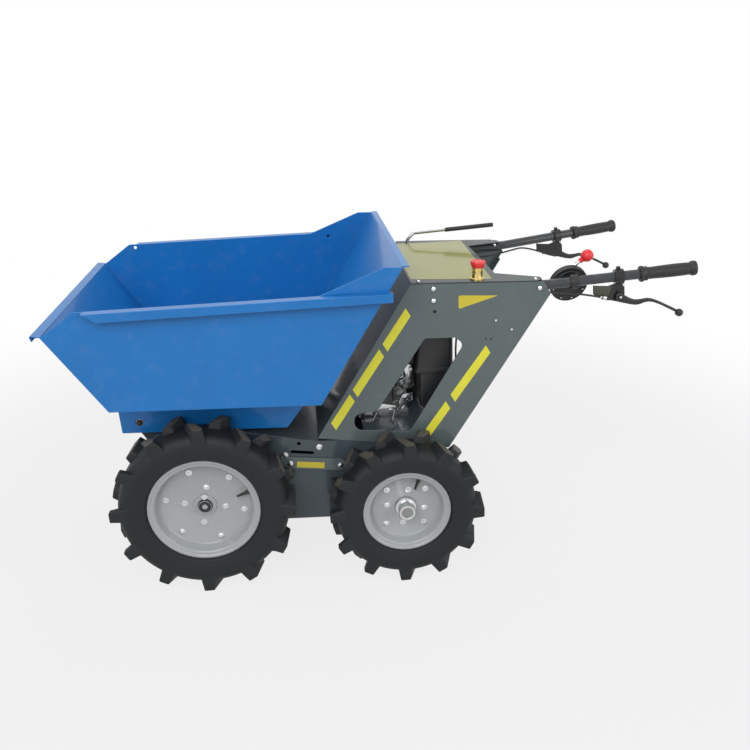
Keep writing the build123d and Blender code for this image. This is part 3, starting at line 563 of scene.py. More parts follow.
def put_all(source, places):
    """One bmesh with a copy of the source at every place."""
    bm = bmesh.new()
    for place in places:
        joined(bm, source, place)
    source.free()
    return bm


def merged(shapes, place=Matrix.Identity(4)):
    """One bmesh of several, all moved to a place."""
    bm = bmesh.new()
    for shape in shapes:
        joined(bm, shape, place)
        shape.free()
    return bm


def capped_bar(radius, height, foot, segments, edge):
    """Round or many-sided bar on the Z axis with a rounded top."""
    bm = bmesh.new()
    bmesh.ops.create_cone(
        bm, cap_ends=True, segments=segments, radius1=radius, radius2=radius, depth=height,
        matrix=Matrix.Translation((0, 0, foot + height / 2)),
    )
    top = [e for e in bm.edges if all(v.co.z > foot + height * 0.9 for v in e.verts)]
    bevelled(bm, top, edge)
    return bm


def disc(radius, thickness, segments=24):
    """Short round bar on the XY plane with a rounded rim."""
    bm = capped_bar(radius, thickness, 0, segments, min(thickness, radius) * 0.25)
    smooth_by_angle(bm)
    return bm


def hex_bolt(across):
    """Hexagon head on its washer, standing on the XY plane."""
    seat = across * 0.14
    bm = capped_bar(across / math.sqrt(3), across * 0.56, seat, 6, across * 0.1)
    smooth_by_angle(bm, 25)
    return merged([bm, disc(across * 0.95, seat, 20)])


def dome_bolt(across):
    """Round head with a socket, standing on the XY plane."""
    height = across * 0.5
    profile = [
        (0, 0), (across / 2, 0), (across / 2, height * 0.45), (across * 0.4, height * 0.85),
        (across * 0.24, height), (across * 0.22, height * 0.5), (0, height * 0.5),
    ]
    return spun(profile, 16)


def bolts(name, places, body, coat="bright_zinc", across=None, dome=False):
    """Piece with a bolt head at every (point, direction), each turned a little from the last."""
    across = across * mm if across else sizes().bolt
    source = dome_bolt(across) if dome else hex_bolt(across)
    spots = [facing(point, way, bolt_turn * index) for index, (point, way) in enumerate(places)]
    return add_piece(name, put_all(source, spots), coat, body)


def bores(name, places, radius, thickness, body, segments=16):
    """Piece with a dark round spot of painted shade, standing for a hole, at every (point,
    direction).
    """
    source = disc(radius * mm, thickness * mm, segments)
    add_piece(name, put_all(source, [facing(*place) for place in places]), "bore_dark", body)


def wire(name, routes, radius, coat, body, sides=4, smooth=True):
    """Round wires or hoses through given points, as one mesh piece."""
    curve = bpy.data.curves.new(name, "CURVE")
    curve.dimensions = "3D"
    curve.bevel_depth = radius
    curve.bevel_resolution = sides
    curve.use_fill_caps = True
    curve.resolution_u = 6
    for route in routes:
        spline = curve.splines.new("NURBS" if smooth else "POLY")
        spline.points.add(len(route) - 1)
        for point, place in zip(spline.points, route):
            point.co = (*place, 1)
        spline.use_endpoint_u = True
        spline.order_u = 4
    holder = placed(name + "_route", curve)
    drawn = holder.evaluated_get(bpy.context.evaluated_depsgraph_get())
    mesh = bpy.data.meshes.new_from_object(drawn)
    bpy.data.objects.remove(holder)
    bm = bmesh.new()
    bm.from_mesh(mesh)
    bpy.data.meshes.remove(mesh)
    return add_piece(name, close_and_point_out(bm, 50), coat, body)


def coil(start, end, radius, turns):
    """Points of a tension spring between two places, all in millimetres."""
    start, end = at(*start), at(*end)
    along = end - start
    across = along.orthogonal().normalized() * radius * mm
    count = turns * coil_steps
    points = [start]
    for step in range(count + 1):
        share = coil_end + (1 - 2 * coil_end) * step / count
        turn = Matrix.Rotation(math.tau * step / coil_steps, 3, along)
        points.append(start + along * share + turn @ across)
    return points + [end]


def film_on(corners, outward, rounding=0.0, thickness=0.25 * mm):
    """Thin film that lies on a flat face and is seen from its outward side."""
    outward = Vector(outward)
    bm = bmesh.new()
    bm.faces.new([bm.verts.new(corner) for corner in corners])
    if rounding:
        bmesh.ops.bevel(
            bm, geom=bm.verts[:], offset=rounding, segments=4, profile=0.5, affect="VERTICES",
            material=-1,
        )
    bmesh.ops.translate(bm, verts=bm.verts, vec=outward * film_gap)
    bm.faces.ensure_lookup_table()
    raised(bm, bm.faces[0], outward * thickness)
    return bm


def both_sides(places):
    """Points and directions of the left side, with their twins on the right after them."""
    flip = Vector((1, -1, 1))
    pairs = [(Vector(point), Vector(way)) for point, way in places]
    return pairs + [(point * flip, way * flip) for point, way in pairs]


def on_faces(face, points):
    """Places on both outer faces, the left ones first, from x and z in millimetres."""
    return both_sides([((x, face, z), leftwards) for x, z in in_mm(points)])


def in_turn(face, points):
    """Places on both outer faces, left and right in turn, from x and z in metres."""
    return [((x, side * face, z), (0, side, 0)) for x, z in points for side in (1, -1)]


def turned(name, profile, point, along, coat, body, *stands_for, steps=40):
    """Piece turned round a line from (radius, height) points, all given in millimetres."""
    bm = spun(in_mm(profile), steps)
    bmesh.ops.transform(bm, matrix=facing(at(*point), along), verts=bm.verts)
    return add_piece(name, bm, coat, body, *stands_for)


def plate(outline, near, far, rounding, segments=3):
    """Plate of an outline in x and z, between two distances from the middle, in millimetres."""
    bm = bmesh.new()
    face = bm.faces.new([bm.verts.new(at(x, near, z)) for x, z in outline])
    raised(bm, face, at(0, far - near, 0))
    rims = [e for e in bm.edges if abs(e.verts[0].co.y - e.verts[1].co.y) < 0.01 * mm]
    bevelled(bm, rims, rounding * mm, segments)
    smooth_by_angle(bm, 40)
    return bm


# ---- Wheels ----
# Corners of a lug's top, as run forward of its middle and distance from mid-tread, then the same at
# its root with the root's depth
lug_corners = [
    (24, 1, 29, -3, 24), (0, 1, -5, -3, 24), (-24, 34, -30, 33, 34),
    (-24, 53, -31, 47.5, 46), (2, 53, 9, 47.5, 46),
]
# Where a lug stands ahead of its pitch, and half its run along the tread
lug_shift = -10 * mm
lug_half_run = 24 * mm
# Tyre's half section: radius beyond the flange, waist or crown, and distance from the middle
tyre_flank = {
    "flange": [
        (-15.5, 24), (-14.1, 27.4), (-3, 30.2), (0.8, 33), (3, 37.5), (5.5, 41), (7.5, 42.6),
        (9.5, 41.6), (12, 43),
    ],
    "waist": [(-6, 48), (10, 49.5)],
    "crown": [(-15, 45.5), (-6, 36), (-1, 22)],
}
# Rim's section: radius beyond the flange's and distance from the middle, round the lip and down the
# outer well to the disc, then up the inner well and back under the tyre
rim_outside = [
    (-0.6, 30.8), (0, 32.4), (-0.8, 34.2), (-2.6, 35), (-5, 34.8), (-7, 33.8), (-8.4, 32.4),
    (-10, 31.8), (-13, 31.7), (-16.9, 30.6), (-18.9, 28), (-20.1, 22), (-23.5, 9), (-25.1, 5.4),
    (-27.5, 3.4), (-28.9, 4), (-30.5, 3),
]
rim_inside = [
    (-30.5, -1), (-24.5, -3), (-19.5, -8), (-19.5, -26), (-10, -31), (-1, -35), (0, -33), (-1, -31),
    (-14.5, -28), (-15.5, -24), (-15.5, 24), (-14.5, 28),
]
valve_profile = [
    (0, 0), (5.6, 0), (5.2, 9), (4, 12), (3.8, 21), (3.2, 22), (3.2, 32.5), (2.4, 33.4), (0, 33.4),
]
# Each end: hub's radius, outer bolts' count, first angle and radius, inner bolts' radius, valve's
# radius and angle, hub's finish
wheel_table = {
    "front": (17, (6, 10, 101), 52, (121, 161), "rim_paint"),
    "rear": (22, (4, 45, 72), 50, (94, 110), "dull_steel"),
}
# Hub caps: finish, foot with heights in millimetres and head with heights as shares of its reach
cap_table = {
    "front": (
        "black_plastic", [(0, 0), (19, 0), (19.2, 1.5), (17.6, 3)],
        [(17.4, 0.86), (15.6, 1), (7, 1), (6, 0.82), (0, 0.8)],
    ),
    "rear": (
        "bright_zinc", [(0, 0), (27, 0), (27, 3), (22.4, 4)],
        [(22.4, 0.93), (20.8, 1), (16, 1), (15, 0.97), (0, 0.97)],
    ),
}


def lug(radius, row):
    """One lug with its top at the given radius over the XZ origin, in row 1 or -1."""
    bm = bmesh.new()
    tops = [bm.verts.new(at(run, row * y, 0)) for run, y, *root in lug_corners]
    roots = [bm.verts.new(at(run, row * y, -down)) for *top, run, y, down in lug_corners]
    bm.faces.new(tops)
    bm.faces.new(roots)
    count = len(tops)
    for k in range(count):
        bm.faces.new((tops[k], tops[(k + 1) % count], roots[(k + 1) % count], roots[k]))
    bmesh.ops.recalc_face_normals(bm, faces=bm.faces)
    edges = [e for e in bm.edges if not all(v in roots for v in e.verts)]
    bevelled(bm, edges, sizes().lug_edge, 3)
    bmesh.ops.translate(bm, verts=bm.verts, vec=(0, 0, radius))
    bm.normal_update()
    for face in bm.faces:
        # Tread faces take the second, lighter finish: a painted highlight with dust
        face.material_index = int(face.normal.z > 0.98)
    smooth_by_angle(bm, 30)
    return bm


def round_axle(bm, centre, degrees, sharp=35):
    """Lays a shape turned round Z about an axle."""
    upright = Matrix.Translation(centre) @ Matrix.Rotation(math.radians(degrees), 4, "X")
    bmesh.ops.transform(bm, matrix=upright, verts=bm.verts)
    return close_and_point_out(bm, sharp)


def carcass(radius, flange):
    """Round tyre body from bead to bead, round the Z axis, for a Subdivision modifier."""
    crown = (radius - sizes().lug_height) / mm
    flange = flange / mm
    anchors = {"flange": flange, "crown": crown, "waist": (flange + crown) / 2}
    flank = [
        (anchors[name] + beyond, y) for name, points in tyre_flank.items() for beyond, y in points
    ]
    loop = flank + [(crown + 0.8, 0)] + [(r, -y) for r, y in reversed(flank)]
    return spun(in_mm(loop), 60, closed=True)


def make_tyre(end, radius, flange, centre, body):
    """Carcass and two staggered rows of lugs, and their twins."""
    bm = round_axle(carcass(radius, flange), centre, 90)
    left = add_piece(f"tyre_carcass_{end}_left", bm, "tyre_rubber", body, f"tyre_{end}_left")
    smoother = left.modifiers.new("round", "SUBSURF")
    smoother.levels = 2
    smoother.render_levels = 2
    swing = lug_shift / radius
    spread = math.asin(lug_half_run / radius)
    tip = radius * math.cos(spread) / math.cos(spread + swing)
    rows = []
    for row, stagger in ((1, 0), (-1, 0.5)):
        turns = [math.tau * (k + stagger) / sizes().lugs - swing for k in range(sizes().lugs)]
        spots = [Matrix.Translation(centre) @ Matrix.Rotation(turn, 4, "Y") for turn in turns]
        rows.append(put_all(lug(tip, row), spots))
    # Lugs in a lightened copy of the tyre's rubber, their tread faces lighter still: painted light
    # from above
    coats = ("lug_rubber", "tread_rubber")
    lugs = add_piece(f"tyre_lugs_{end}_left", merged(rows), coats, body)
    mirrored(left)
    mirrored(lugs)


def make_rim(end, flange, hub, centre, body):
    """Two-flange pressed rim with a rolled lip and a dished disc, round the axle."""
    beyond_flange = [(flange / mm + beyond, y) for beyond, y in rim_outside + rim_inside]
    turning = len(rim_outside)
    loop = beyond_flange[:turning] + [(hub, 3), (hub, -1)] + beyond_flange[turning:]
    bm = round_axle(spun(in_mm(loop), 96, closed=True), centre, -90, 40)
    mirrored(add_piece(f"rim_shell_{end}_left", bm, "rim_paint", body, f"rim_{end}_left"))


def on_disc(centre, radius, degrees, lift):
    """Point on a wheel's disc: millimetres out and up from it, degrees from the front up."""
    turn = math.radians(degrees)
    return centre + at(radius * math.cos(turn), lift, radius * math.sin(turn))


def make_valve(end, centre, radius, degrees, body):
    """Rubber valve stem that leans out of the rim's well towards the hub."""
    foot = on_disc(centre, radius, degrees, 13)
    along = on_disc(centre, radius - 33, degrees, 17) - foot
    stretch = along.length / valve_profile[-1][1]
    bm = spun([(r * mm, height * stretch) for r, height in valve_profile], 20)
    bmesh.ops.transform(bm, matrix=facing(foot, along), verts=bm.verts)
    mirrored(add_piece(f"valve_{end}_left", bm, "valve_rubber", body))


def make_cap(end, centre, body):
    """Turned cap on the hub's outer end."""
    coat, foot, head = cap_table[end]
    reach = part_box(f"hub_{end}_left")[1].y - centre.y - 7 * mm
    bm = spun(in_mm(foot) + [(radius * mm, share * reach) for radius, share in head], 40)
    place = facing(centre + at(0, 7.2, 0), leftwards)
    bmesh.ops.transform(bm, matrix=place, verts=bm.verts)
    mirrored(add_piece(f"hub_cap_{end}_left", bm, coat, body))


def make_wheel(end, hub, outer_ring, inner_radius, valve, hub_coat):
    """Tyre, rim, bolts, hub and cap of one end's left wheel, and their mirrored twins."""
    body = body_of_node(f"tyre_{end}_left")
    centre = middle_of(f"rim_{end}_left")
    flange = size_of(f"rim_{end}_left").x / 2
    make_tyre(end, size_of(f"tyre_{end}_left").z / 2, flange, centre, body)
    make_rim(end, flange, hub, centre, body)
    make_valve(end, centre, *valve, body)
    count, start, outer_radius = outer_ring
    ring = [on_disc(centre, outer_radius, start + 360 * k / count, 3) for k in range(count)]
    ring += [on_disc(centre, inner_radius, 90 * k + 7, 3) for k in range(4)]
    heads = [(point, leftwards) for point in ring]
    mirrored(bolts(f"wheel_bolts_{end}_left", heads, body, across=9))
    mirrored(rounded_copy(f"hub_{end}_left", hub_coat, 0.6 * mm))
    make_cap(end, centre, body)


class DUMPER_OT_wheels(bpy.types.Operator):
    """Make the tyres, rims, hubs, bolts and valves"""

    bl_idname = "dumper.wheels"
    bl_label = "Wheels"

    def execute(self, context):
        for end, layout in wheel_table.items():
            make_wheel(end, *layout)
        pin = on_disc(middle_of("rim_front_left"), 24, 90, 7)
        body = body_of_node("tyre_front_left")
        mirrored(bolts("hub_pin_front_left", [(pin, leftwards)], body, across=9))
        return {"FINISHED"}


# ---- Skip ----
# In this table and its likes "sheet" stands for the panel's rounding of sheet edges
skip_coats = {
    ("skip_paint", "sheet"): ["skip_shell", "skip_subframe"],
    ("dull_steel", 1): ["tipping_shaft"],
}
# Weld beads on each side of the skip, as x and z: floor to lip, along the floor, up the rear wall
weld_side = 344.6
weld_runs = [[(645, 528), (776, 719)], [(140, 528), (645, 528)], [(142, 528), (-50, 862)]]
# Holes in the leaning rear board, which faces up and forward, and the left end of the pivot. The
# holes and the pivot's bore are dark discs of painted shade.
board_holes = [(at(1.6, side * 136, 768), (1, 0, 0.568)) for side in (1, -1)]
pivot_bore = at(604, 224, 438)
pivot_end = at(604, 223.4, 437)


class DUMPER_OT_skip(bpy.types.Operator):
    """Finish the skip: rounded sheet, weld beads and bolts"""

    bl_idname = "dumper.skip"
    bl_label = "Skip"

    def execute(self, context):
        body = body_of_node("skip_shell")
        dress(skip_coats)
        beads = [
            [at(x, side * weld_side, z) for x, z in run] for side in (1, -1) for run in weld_runs
        ]
        wire("skip_welds", beads, sizes().weld, "skip_paint", body, 2, smooth=False)
        # Dark discs of painted shade for the rear board's holes and the pivot's bores
        bores("rear_board_holes", board_holes, 4.5, 1, body)
        bores("pivot_bores", both_sides([(pivot_bore, leftwards)]), 8, 0.3, body, 24)
        ends = both_sides([(pivot_end, leftwards)])
        bolts("pivot_ends", ends, body, "dark_steel", 9, dome=True)
        return {"FINISHED"}


# ---- Chassis ----
chassis_coats = {
    ("chassis_paint", "sheet"): [
        "frame_side_left", "frame_side_right", "chassis_pan", "deck_plate", "pivot_bracket",
        "engine_mount",
    ],
    ("console_paint", "sheet"): ["chain_guards"],
    ("grip_rubber", "sheet"): ["rest_pads"],
    ("cast_alloy", 1): ["bearings_left", "bearings_right"],
    ("cast_alloy", 5): ["gearbox"],
}
# Bolts on the side plates and at the chain guards' ends, and the label's corners, as x and z
chassis_bolts = [(144, 355), (235, 334), (320, 330), (470, 340)]
guard_bolts = [(88, 301), (222, 312)]
label_corners = [(132, 293), (205, 299.4), (204, 316.4), (131, 310)]


class DUMPER_OT_chassis(bpy.types.Operator):
    """Finish the chassis: rounded plates, bearings, guards, bolts and the blank label"""

    bl_idname = "dumper.chassis"
    bl_label = "Chassis"

    def execute(self, context):
        dress(chassis_coats)
        body = body_of_node("frame_side_left")
        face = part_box("frame_side_left")[1].y
        bolts("chassis_bolts", in_turn(face, in_mm(chassis_bolts)), body, across=9)
        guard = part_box("chain_guards")[1].y
        corners = [(x, guard, z) for x, z in in_mm(label_corners)]
        add_piece("chain_label", film_on(corners, leftwards, 1 * mm), "blank_label", body)
        bolts("guard_bolts", in_turn(guard, in_mm(guard_bolts)), body, across=8)
        ring = [
            on_disc(middle_of(f"rim_{end}_left"), 37.5, 45 + 90 * k, 0)
            for end in ("front", "rear") for k in range(4)
        ]
        heads = in_turn(face + 6 * mm, [(point.x, point.z) for point in ring])
        bolts("bearing_bolts", heads, body, across=8)
        return {"FINISHED"}


# ---- Console ----
console_coats = {
    ("console_paint", "sheet"): ["console_side_left", "console_side_right"],
    ("console_paint", 1.2): ["console_front_panel"],
    # The top panel takes the console's paint, darkened as painted shade
    ("top_paint", "sheet"): ["top_panel"],
}
# Stripes on the console's sides: middle of the foot and of the head, and where bars lie between
stripe_table = [
    ((106, 414), (-83, 722), [(0, 0.26), (0.3, 0.655), (0.7, 1)]),
    ((-145, 387), (-292, 618), [(0, 0.34), (0.42, 1)]),
]
# Direction of the stripes' slanted ends
stripe_slant = Vector((0.526, 0.851))
sticker_corners = [(-208, 762), (-309, 760), (-210, 727)]
console_bolts = [(-143.4, 781.3), (-144.9, 751.1), (-411.6, 777.4)]
console_rivets = [(-306.6, 694.7), (-349, 669.8)]
# Holes, each a dark disc of painted shade: x, z and radius
console_holes = [(-149.7, 721.8, 4.5), (-284, 646.7, 2.2), (-298, 645.3, 2.2)]
# Corners of the top's film, and the top panel's bolts, as x and y
film_corners = [(-97, -193), (-310, -228), (-296, 215), (-92, 204)]
top_bolts = [(-108, -226), (-108, 226), (-404, -226), (-404, 226)]


def stripe_bars(face):
    """Every blank bar on both sides, as one bmesh."""
    bars = []
    for foot, head, shares in stripe_table:
        run = Vector(head) - Vector(foot)
        square = Vector((run.y, -run.x)).normalized()
        half = stripe_slant * sizes().stripe / mm / 2 / stripe_slant.dot(square)
        for begin, end in shares:
            low, high = Vector(foot) + run * begin, Vector(foot) + run * end
            spots = in_mm([low - half, low + half, high + half, high - half])
            for side in (1, -1):
                bars.append(film_on([(x, side * face, z) for x, z in spots], (0, side, 0)))
    return merged(bars)


class DUMPER_OT_console(bpy.types.Operator):
    """Finish the console: folded plates, top film, blank stripes, sticker and bolts"""

    bl_idname = "dumper.console"
    bl_label = "Console"

    def execute(self, context):
        body = body_of_node("console_side_left")
        dress(console_coats)
        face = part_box("console_side_left")[1].y
        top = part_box("top_panel")[1].z
        add_piece("console_stripes", stripe_bars(face), "stripe_film", body)
        corners = [(x, y, top) for x, y in in_mm(film_corners)]
        cover = film_on(corners, upwards, 6 * mm, 0.4 * mm)
        add_piece("top_plate_film", cover, "plate_film", body)
        corners = [(x, face, z) for x, z in in_mm(sticker_corners)]
        add_piece("console_sticker", film_on(corners, leftwards, 5 * mm), "blank_label", body)
        bolts("console_bolts", on_faces(face, console_bolts), body, across=13, dome=True)
        bolts("console_rivets", on_faces(face, console_rivets), body, across=6.5, dome=True)
        # Dark discs of painted shade for the console's holes
        dots = []
        for x, z, radius in console_holes:
            places = [facing(*place) for place in on_faces(face, [(x, z)])]
            dots.append(put_all(disc(radius * mm, 0.2 * mm, 16), places))
        add_piece("console_holes", merged(dots), "bore_dark", body)
        heads = [((x, y, top), upwards) for x, y in in_mm(top_bolts)]
        bolts("top_panel_bolts", heads, body, across=9, dome=True)
        return {"FINISHED"}


# ---- Engine ----
engine_coats = {
    ("cast_alloy", 1.6): ["crankcase"],
    ("cast_alloy", 0): ["cylinder_block"],
    ("cast_alloy", 1): ["carburettor"],
    ("engine_black", 2): ["rocker_cover"],
    ("engine_black", 2.5): ["fan_shroud"],
    ("engine_black", 0): ["fuel_tank"],
    ("black_plastic", 1.2): ["recoil_starter"],
    ("black_plastic", 2.5): ["air_filter"],
    ("bright_zinc", 0.6): ["governor_linkage"],
    ("dark_steel", 1.2): ["muffler"],
    ("black_paint", 1.5): ["belt_guard"],
}
# Thin rods, hoses and leads round the engine: name, finish, radius and route
engine_lines = [
    ("governor_rod", "bright_zinc", 1.2,
     [(-60, 106, 546), (-61, 110, 556), (-66, 121, 574), (-73, 126, 588)]),
    ("throttle_rod", "bright_zinc", 1.2,
     [(-22, 109, 512), (-30, 113, 534), (-44, 124, 566), (-56, 131, 588)]),
    ("choke_rod", "dull_steel", 1.4,
     [(-8, 110, 500), (-14, 122, 524), (-30, 130, 556), (-34, 133, 586)]),
    ("fuel_hose", "cable_sheath", 3.2,
     [(-124, 40, 664), (-118, 74, 650), (-104, 112, 628), (-92, 126, 604), (-84, 132, 572)]),
    ("breather_hose", "cable_sheath", 4.5,
     [(-70, 92, 640), (-74, 118, 640), (-84, 140, 628), (-96, 150, 612)]),
    ("stop_wire", "cable_sheath", 1.3,
     [(-20, 118, 500), (4, 132, 470), (14, 140, 430), (22, 150, 372)]),
    ("brake_strut", "bright_zinc", 4.0,
     [(26, 150, 444), (27, 150, 430), (29, 150, 415), (31, 150, 397)]),
    ("brake_rod_front", "dull_steel", 1.8,
     [(-20, 150, 418), (-12, 158, 404), (-4, 166, 390), (4, 174, 372)]),
    ("brake_rod_rear", "dull_steel", 1.8,
     [(-66, 150, 414), (-62, 158, 402), (-58, 166, 388), (-56, 172, 372)]),
    ("earth_wire", "cable_sheath", 1.3,
     [(10, 112, 452), (-18, 138, 430), (-26, 142, 400), (-28, 144, 372)]),
]
# Tension springs: start, end, radius and turns
engine_springs = [
    ((-58, 110, 540), (-20, 109, 506), 3.4, 13),
    ((-72, 110, 504), (-36, 112, 470), 3.0, 11),
    ((2, 108, 498), (-32, 110, 452), 3.2, 14), ((-104, 120, 508), (-70, 118, 462), 3.4, 14),
    ((-84, 120, 432), (-44, 140, 424), 3.0, 12),
]
# Small levers and brackets of the engine's controls: outline in x and z, near and far side
engine_plates = [
    ([(-30, 556), (-22, 552), (-12, 520), (-18, 508), (-28, 512), (-36, 548)], 118, 121),
    ([(-8, 508), (4, 506), (22, 470), (18, 462), (8, 464), (-10, 498)], 112, 115),
    ([(-60, 470), (-48, 474), (-22, 452), (-26, 440), (-38, 440), (-62, 460)], 110, 113),
    ([(-92, 534), (-84, 540), (-46, 540), (-40, 532), (-48, 526), (-86, 526)], 146, 149),
    ([(-126, 540), (-96, 540), (-92, 528), (-100, 502), (-96, 470), (-108, 462), (-122, 470),
      (-118, 506)], 112, 115),
    ([(-84, 396), (-70, 424), (-30, 430), (-4, 414), (22, 418), (26, 398), (4, 392),
      (-60, 390)], 138, 141),
    ([(-118, 452), (-92, 446), (-78, 418), (-90, 408), (-104, 420), (-120, 430)], 116, 119),
]
# Round bosses, screws and posts: point, radius, length and finish
engine_posts = [
    ((-12, 86, 462), 13, 22, "cast_alloy"), ((-48, 86, 452), 15, 14, "cast_alloy"),
    ((-84, 86, 448), 12, 20, "cast_alloy"), ((14, 86, 436), 9, 26, "dull_steel"),
    ((-20, 96, 540), 7, 26, "bright_zinc"), ((-60, 96, 478), 6, 18, "bright_zinc"),
    ((-34, 110, 562), 5, 14, "brass"), ((0, 88, 490), 8, 20, "bright_zinc"),
    ((-112, 96, 522), 7, 24, "bright_zinc"), ((-106, 96, 486), 9, 22, "cast_alloy"),
    ((-100, 100, 434), 8, 24, "bright_zinc"), ((-58, 130, 410), 7, 16, "bright_zinc"),
    ((-16, 130, 406), 9, 18, "dull_steel"), ((14, 130, 408), 6, 16, "bright_zinc"),
    ((-78, 100, 500), 10, 14, "cast_alloy"), ((-94, 96, 552), 6, 30, "bright_zinc"),
]
# Hexagon heads on the engine, by the way that they face
engine_bolts = {
    leftwards: [
        (-96, 88, 470), (-40, 88, 440), (8, 88, 470), (-82, 104, 502), (-34, 104, 502),
        (-74, 147, 600), (-73, 147, 552),
    ],
    upwards: [(10, 104, 401), (-94, 104, 401)],
    (1, 0, 0): [(46, 60, 516), (46, 116, 404), (46, 20, 486)],
    (-1, 0, 0): [(-152, 70, 560), (-152, -60, 560), (-152, 0, 404)],
}
oil_cap_profile = [
    (0, 0), (11, 0), (11, 14), (14, 15), (15, 17), (15, 24), (13.6, 26), (9, 26.4), (0, 26.4),
]
float_bowl_profile = [
    (0, 0), (9, 0.4), (13.4, 3), (14.6, 8), (14.6, 24), (16, 25), (16, 28), (0, 28),
]
side_cover_outline = [(-180, 434), (-140, 434), (-130, 446), (-126, 541), (-208, 541), (-206, 462)]
control_bracket_outline = [
    (-98, 494), (10, 494), (14, 500), (14, 512), (-40, 516), (-44, 530), (-98, 530),
]


def post_profile(radius, reach):
    """Boss with a narrower head."""
    neck = radius - 2
    return [
        (0, 0), (radius, 0), (radius, reach * 0.6), (neck, reach * 0.66), (neck, reach - 1),
        (radius - 3, reach), (0, reach),
    ]


class DUMPER_OT_engine(bpy.types.Operator):
    """Finish the engine behind the window and add its springs, rods, hoses and bolts"""

    bl_idname = "dumper.engine"
    bl_label = "Engine"

    def execute(self, context):
        body = body_of_node("crankcase")
        dress(engine_coats)
        for name, coat, radius, route in engine_lines:
            wire(name, [in_mm(route)], radius * mm, coat, body)
        springs = [coil(*spring) for spring in engine_springs]
        wire("engine_springs", springs, 0.6 * mm, "bright_zinc", body, 1)
        heads = [(at(*point), way) for way, points in engine_bolts.items() for point in points]
        bolts("engine_bolts", heads, body)
        levers = merged([plate(*lever, 0.8, 2) for lever in engine_plates])
        add_piece("control_levers", levers, "bright_zinc", body)
        for number, (point, radius, reach, coat) in enumerate(engine_posts, 1):
            post = post_profile(radius, reach)
            turned(f"engine_post_{number}", post, point, leftwards, coat, body, steps=20)
        tilt = (0, 1, 0.6)
        turned("oil_filler_cap", oil_cap_profile, (-6, 84, 430), tilt, "black_plastic", body)
        turned("float_bowl", float_bowl_profile, (-73, 133, 527), upwards, "dull_steel", body)
        add_piece("side_cover", plate(side_cover_outline, 122, 188, 7), "black_plastic", body)
        bracket = plate(control_bracket_outline, 96, 98.5, 0.6, 2)
        add_piece("control_bracket", bracket, "dull_steel", body)
        return {"FINISHED"}


# ---- Handles and controls ----
control_coats = {
    ("handle_paint", 0): ["handlebar_left", "handlebar_right"],
    ("black_paint", 0.8): ["lever_bracket_left", "lever_bracket_right"],
    ("cable_sheath", 0): ["clutch_cable_left", "clutch_cable_right", "throttle_cable"],
    ("black_plastic", 1): ["throttle_housing"],
    ("chrome", 0): ["throttle_lever", "release_lever"],
    ("grip_rubber", 1): ["release_grip"],
}
# Left handle's splayed stretch, and the profiles and outlines of what sits on it
handle_bend = Vector((-440, 223.5, 781))
handle_end = Vector((-797, 264, 827))
handle_way = (handle_end - handle_bend).normalized()
grip_profile = [
    (0, 0), (18.4, 0), (20, 2), (20, 7), (18.8, 9.5), (17, 10.5), (17.2, 13.5), (18.2, 15),
    (18, 17.5),
    (15.2, 20), (15, 30), (15.8, 55), (16.2, 85), (15.8, 110), (15.2, 122), (17.4, 125),
    (18.4, 127.5),
    (18.4, 134), (17, 137.4), (12, 138), (0, 138),
]
lever_outline = [
    (-607, 745), (-608, 757), (-613, 763), (-620, 763), (-632, 755), (-645, 748), (-658, 743.6),
    (-672, 743.8), (-691, 746.8), (-704, 745), (-721, 739), (-745, 728), (-776, 713.6),
    (-774, 706.6),
    (-748, 719), (-730, 727.6), (-709, 735.6), (-695, 737.4), (-683, 735.4), (-674, 731.6),
    (-664, 729.6),
    (-650, 731), (-630, 735.4), (-611, 740),
]
olive_outline = [(-549.5, 779.5), (-552.5, 757.5), (-588, 744.5), (-597, 776), (-590, 777.6)]
lever_knob = [
    (0, -9.6), (4.5, -8.8), (8, -6.2), (9.6, -2), (9.8, 2), (8.2, 6.4), (4.8, 9.2), (0, 10),
]
throttle_knob = [
    (0, 0), (6.4, 0), (6.9, 1.4), (6.3, 6), (7.8, 9.4), (11.6, 12.4), (14.8, 17.6), (15.6, 23.4),
    (14.6, 29.4), (11.4, 34.6), (6.4, 37.8), (0, 38.8),
]
drum_rings = [
    [(47.2, -0.9), (48.8, 0.3), (48.8, 2.7), (47.4, 3.8), (44, 3.8), (44, -0.9)],
    [(47.2, 9.8), (48.8, 11), (48.8, 13.4), (47.4, 14.5), (44, 14.5), (44, 9.8)],
    [(37, -1.6), (38.4, -0.4), (38.4, 0.8), (34, 0.8), (34, -0.4), (35.2, -1.6)],
]
throttle_centre = Vector((-503, 196, 772))
throttle_axis = Vector((0, -1, 0.26)).normalized()
filler_cap_profile = [
    (0, 30), (14.4, 30), (15.2, 31), (16, 33), (18.6, 39.4), (19, 41), (19, 44), (17.6, 46.4),
    (14, 46.9),
    (13, 46), (0, 46),
]
filler_neck_profile = [
    (0, 0), (18, 0), (18, 3.4), (16.6, 5), (14, 5.4), (13.4, 9), (13.4, 21), (14, 22), (14, 24),
    (13.2, 24.6), (14, 26), (14, 30), (0, 30),
]
adjuster_profile = [(0, 0), (5.8, 0), (6, 1), (6, 7), (5.4, 8), (3.4, 8), (3.4, 15), (0, 15)]
clamp_screw_profile = [(0, 0), (5.4, 0), (5.6, 1), (5.6, 10), (4.6, 11), (0, 11)]
# Near and far sides of the left lever's blade and of the cover plate on its bracket
lever_sides = (243.3, 251.3)
cover_sides = (242.6, 244.2)
# Where the left grip and the bracket's clamp sit along the handle, as x
grip_x = -661
clamp_x = -611
# Screws round the throttle's drum, in degrees and from its middle, then its knob
throttle_screws = (200, 250, 290, 340)
screw_circle = 41
knob_way = Vector((-27, 5, 24.5)).normalized()
knob_foot = Vector((-541, 201, 848)) - knob_way * 24
filler_foot = (-258, 214, 796)


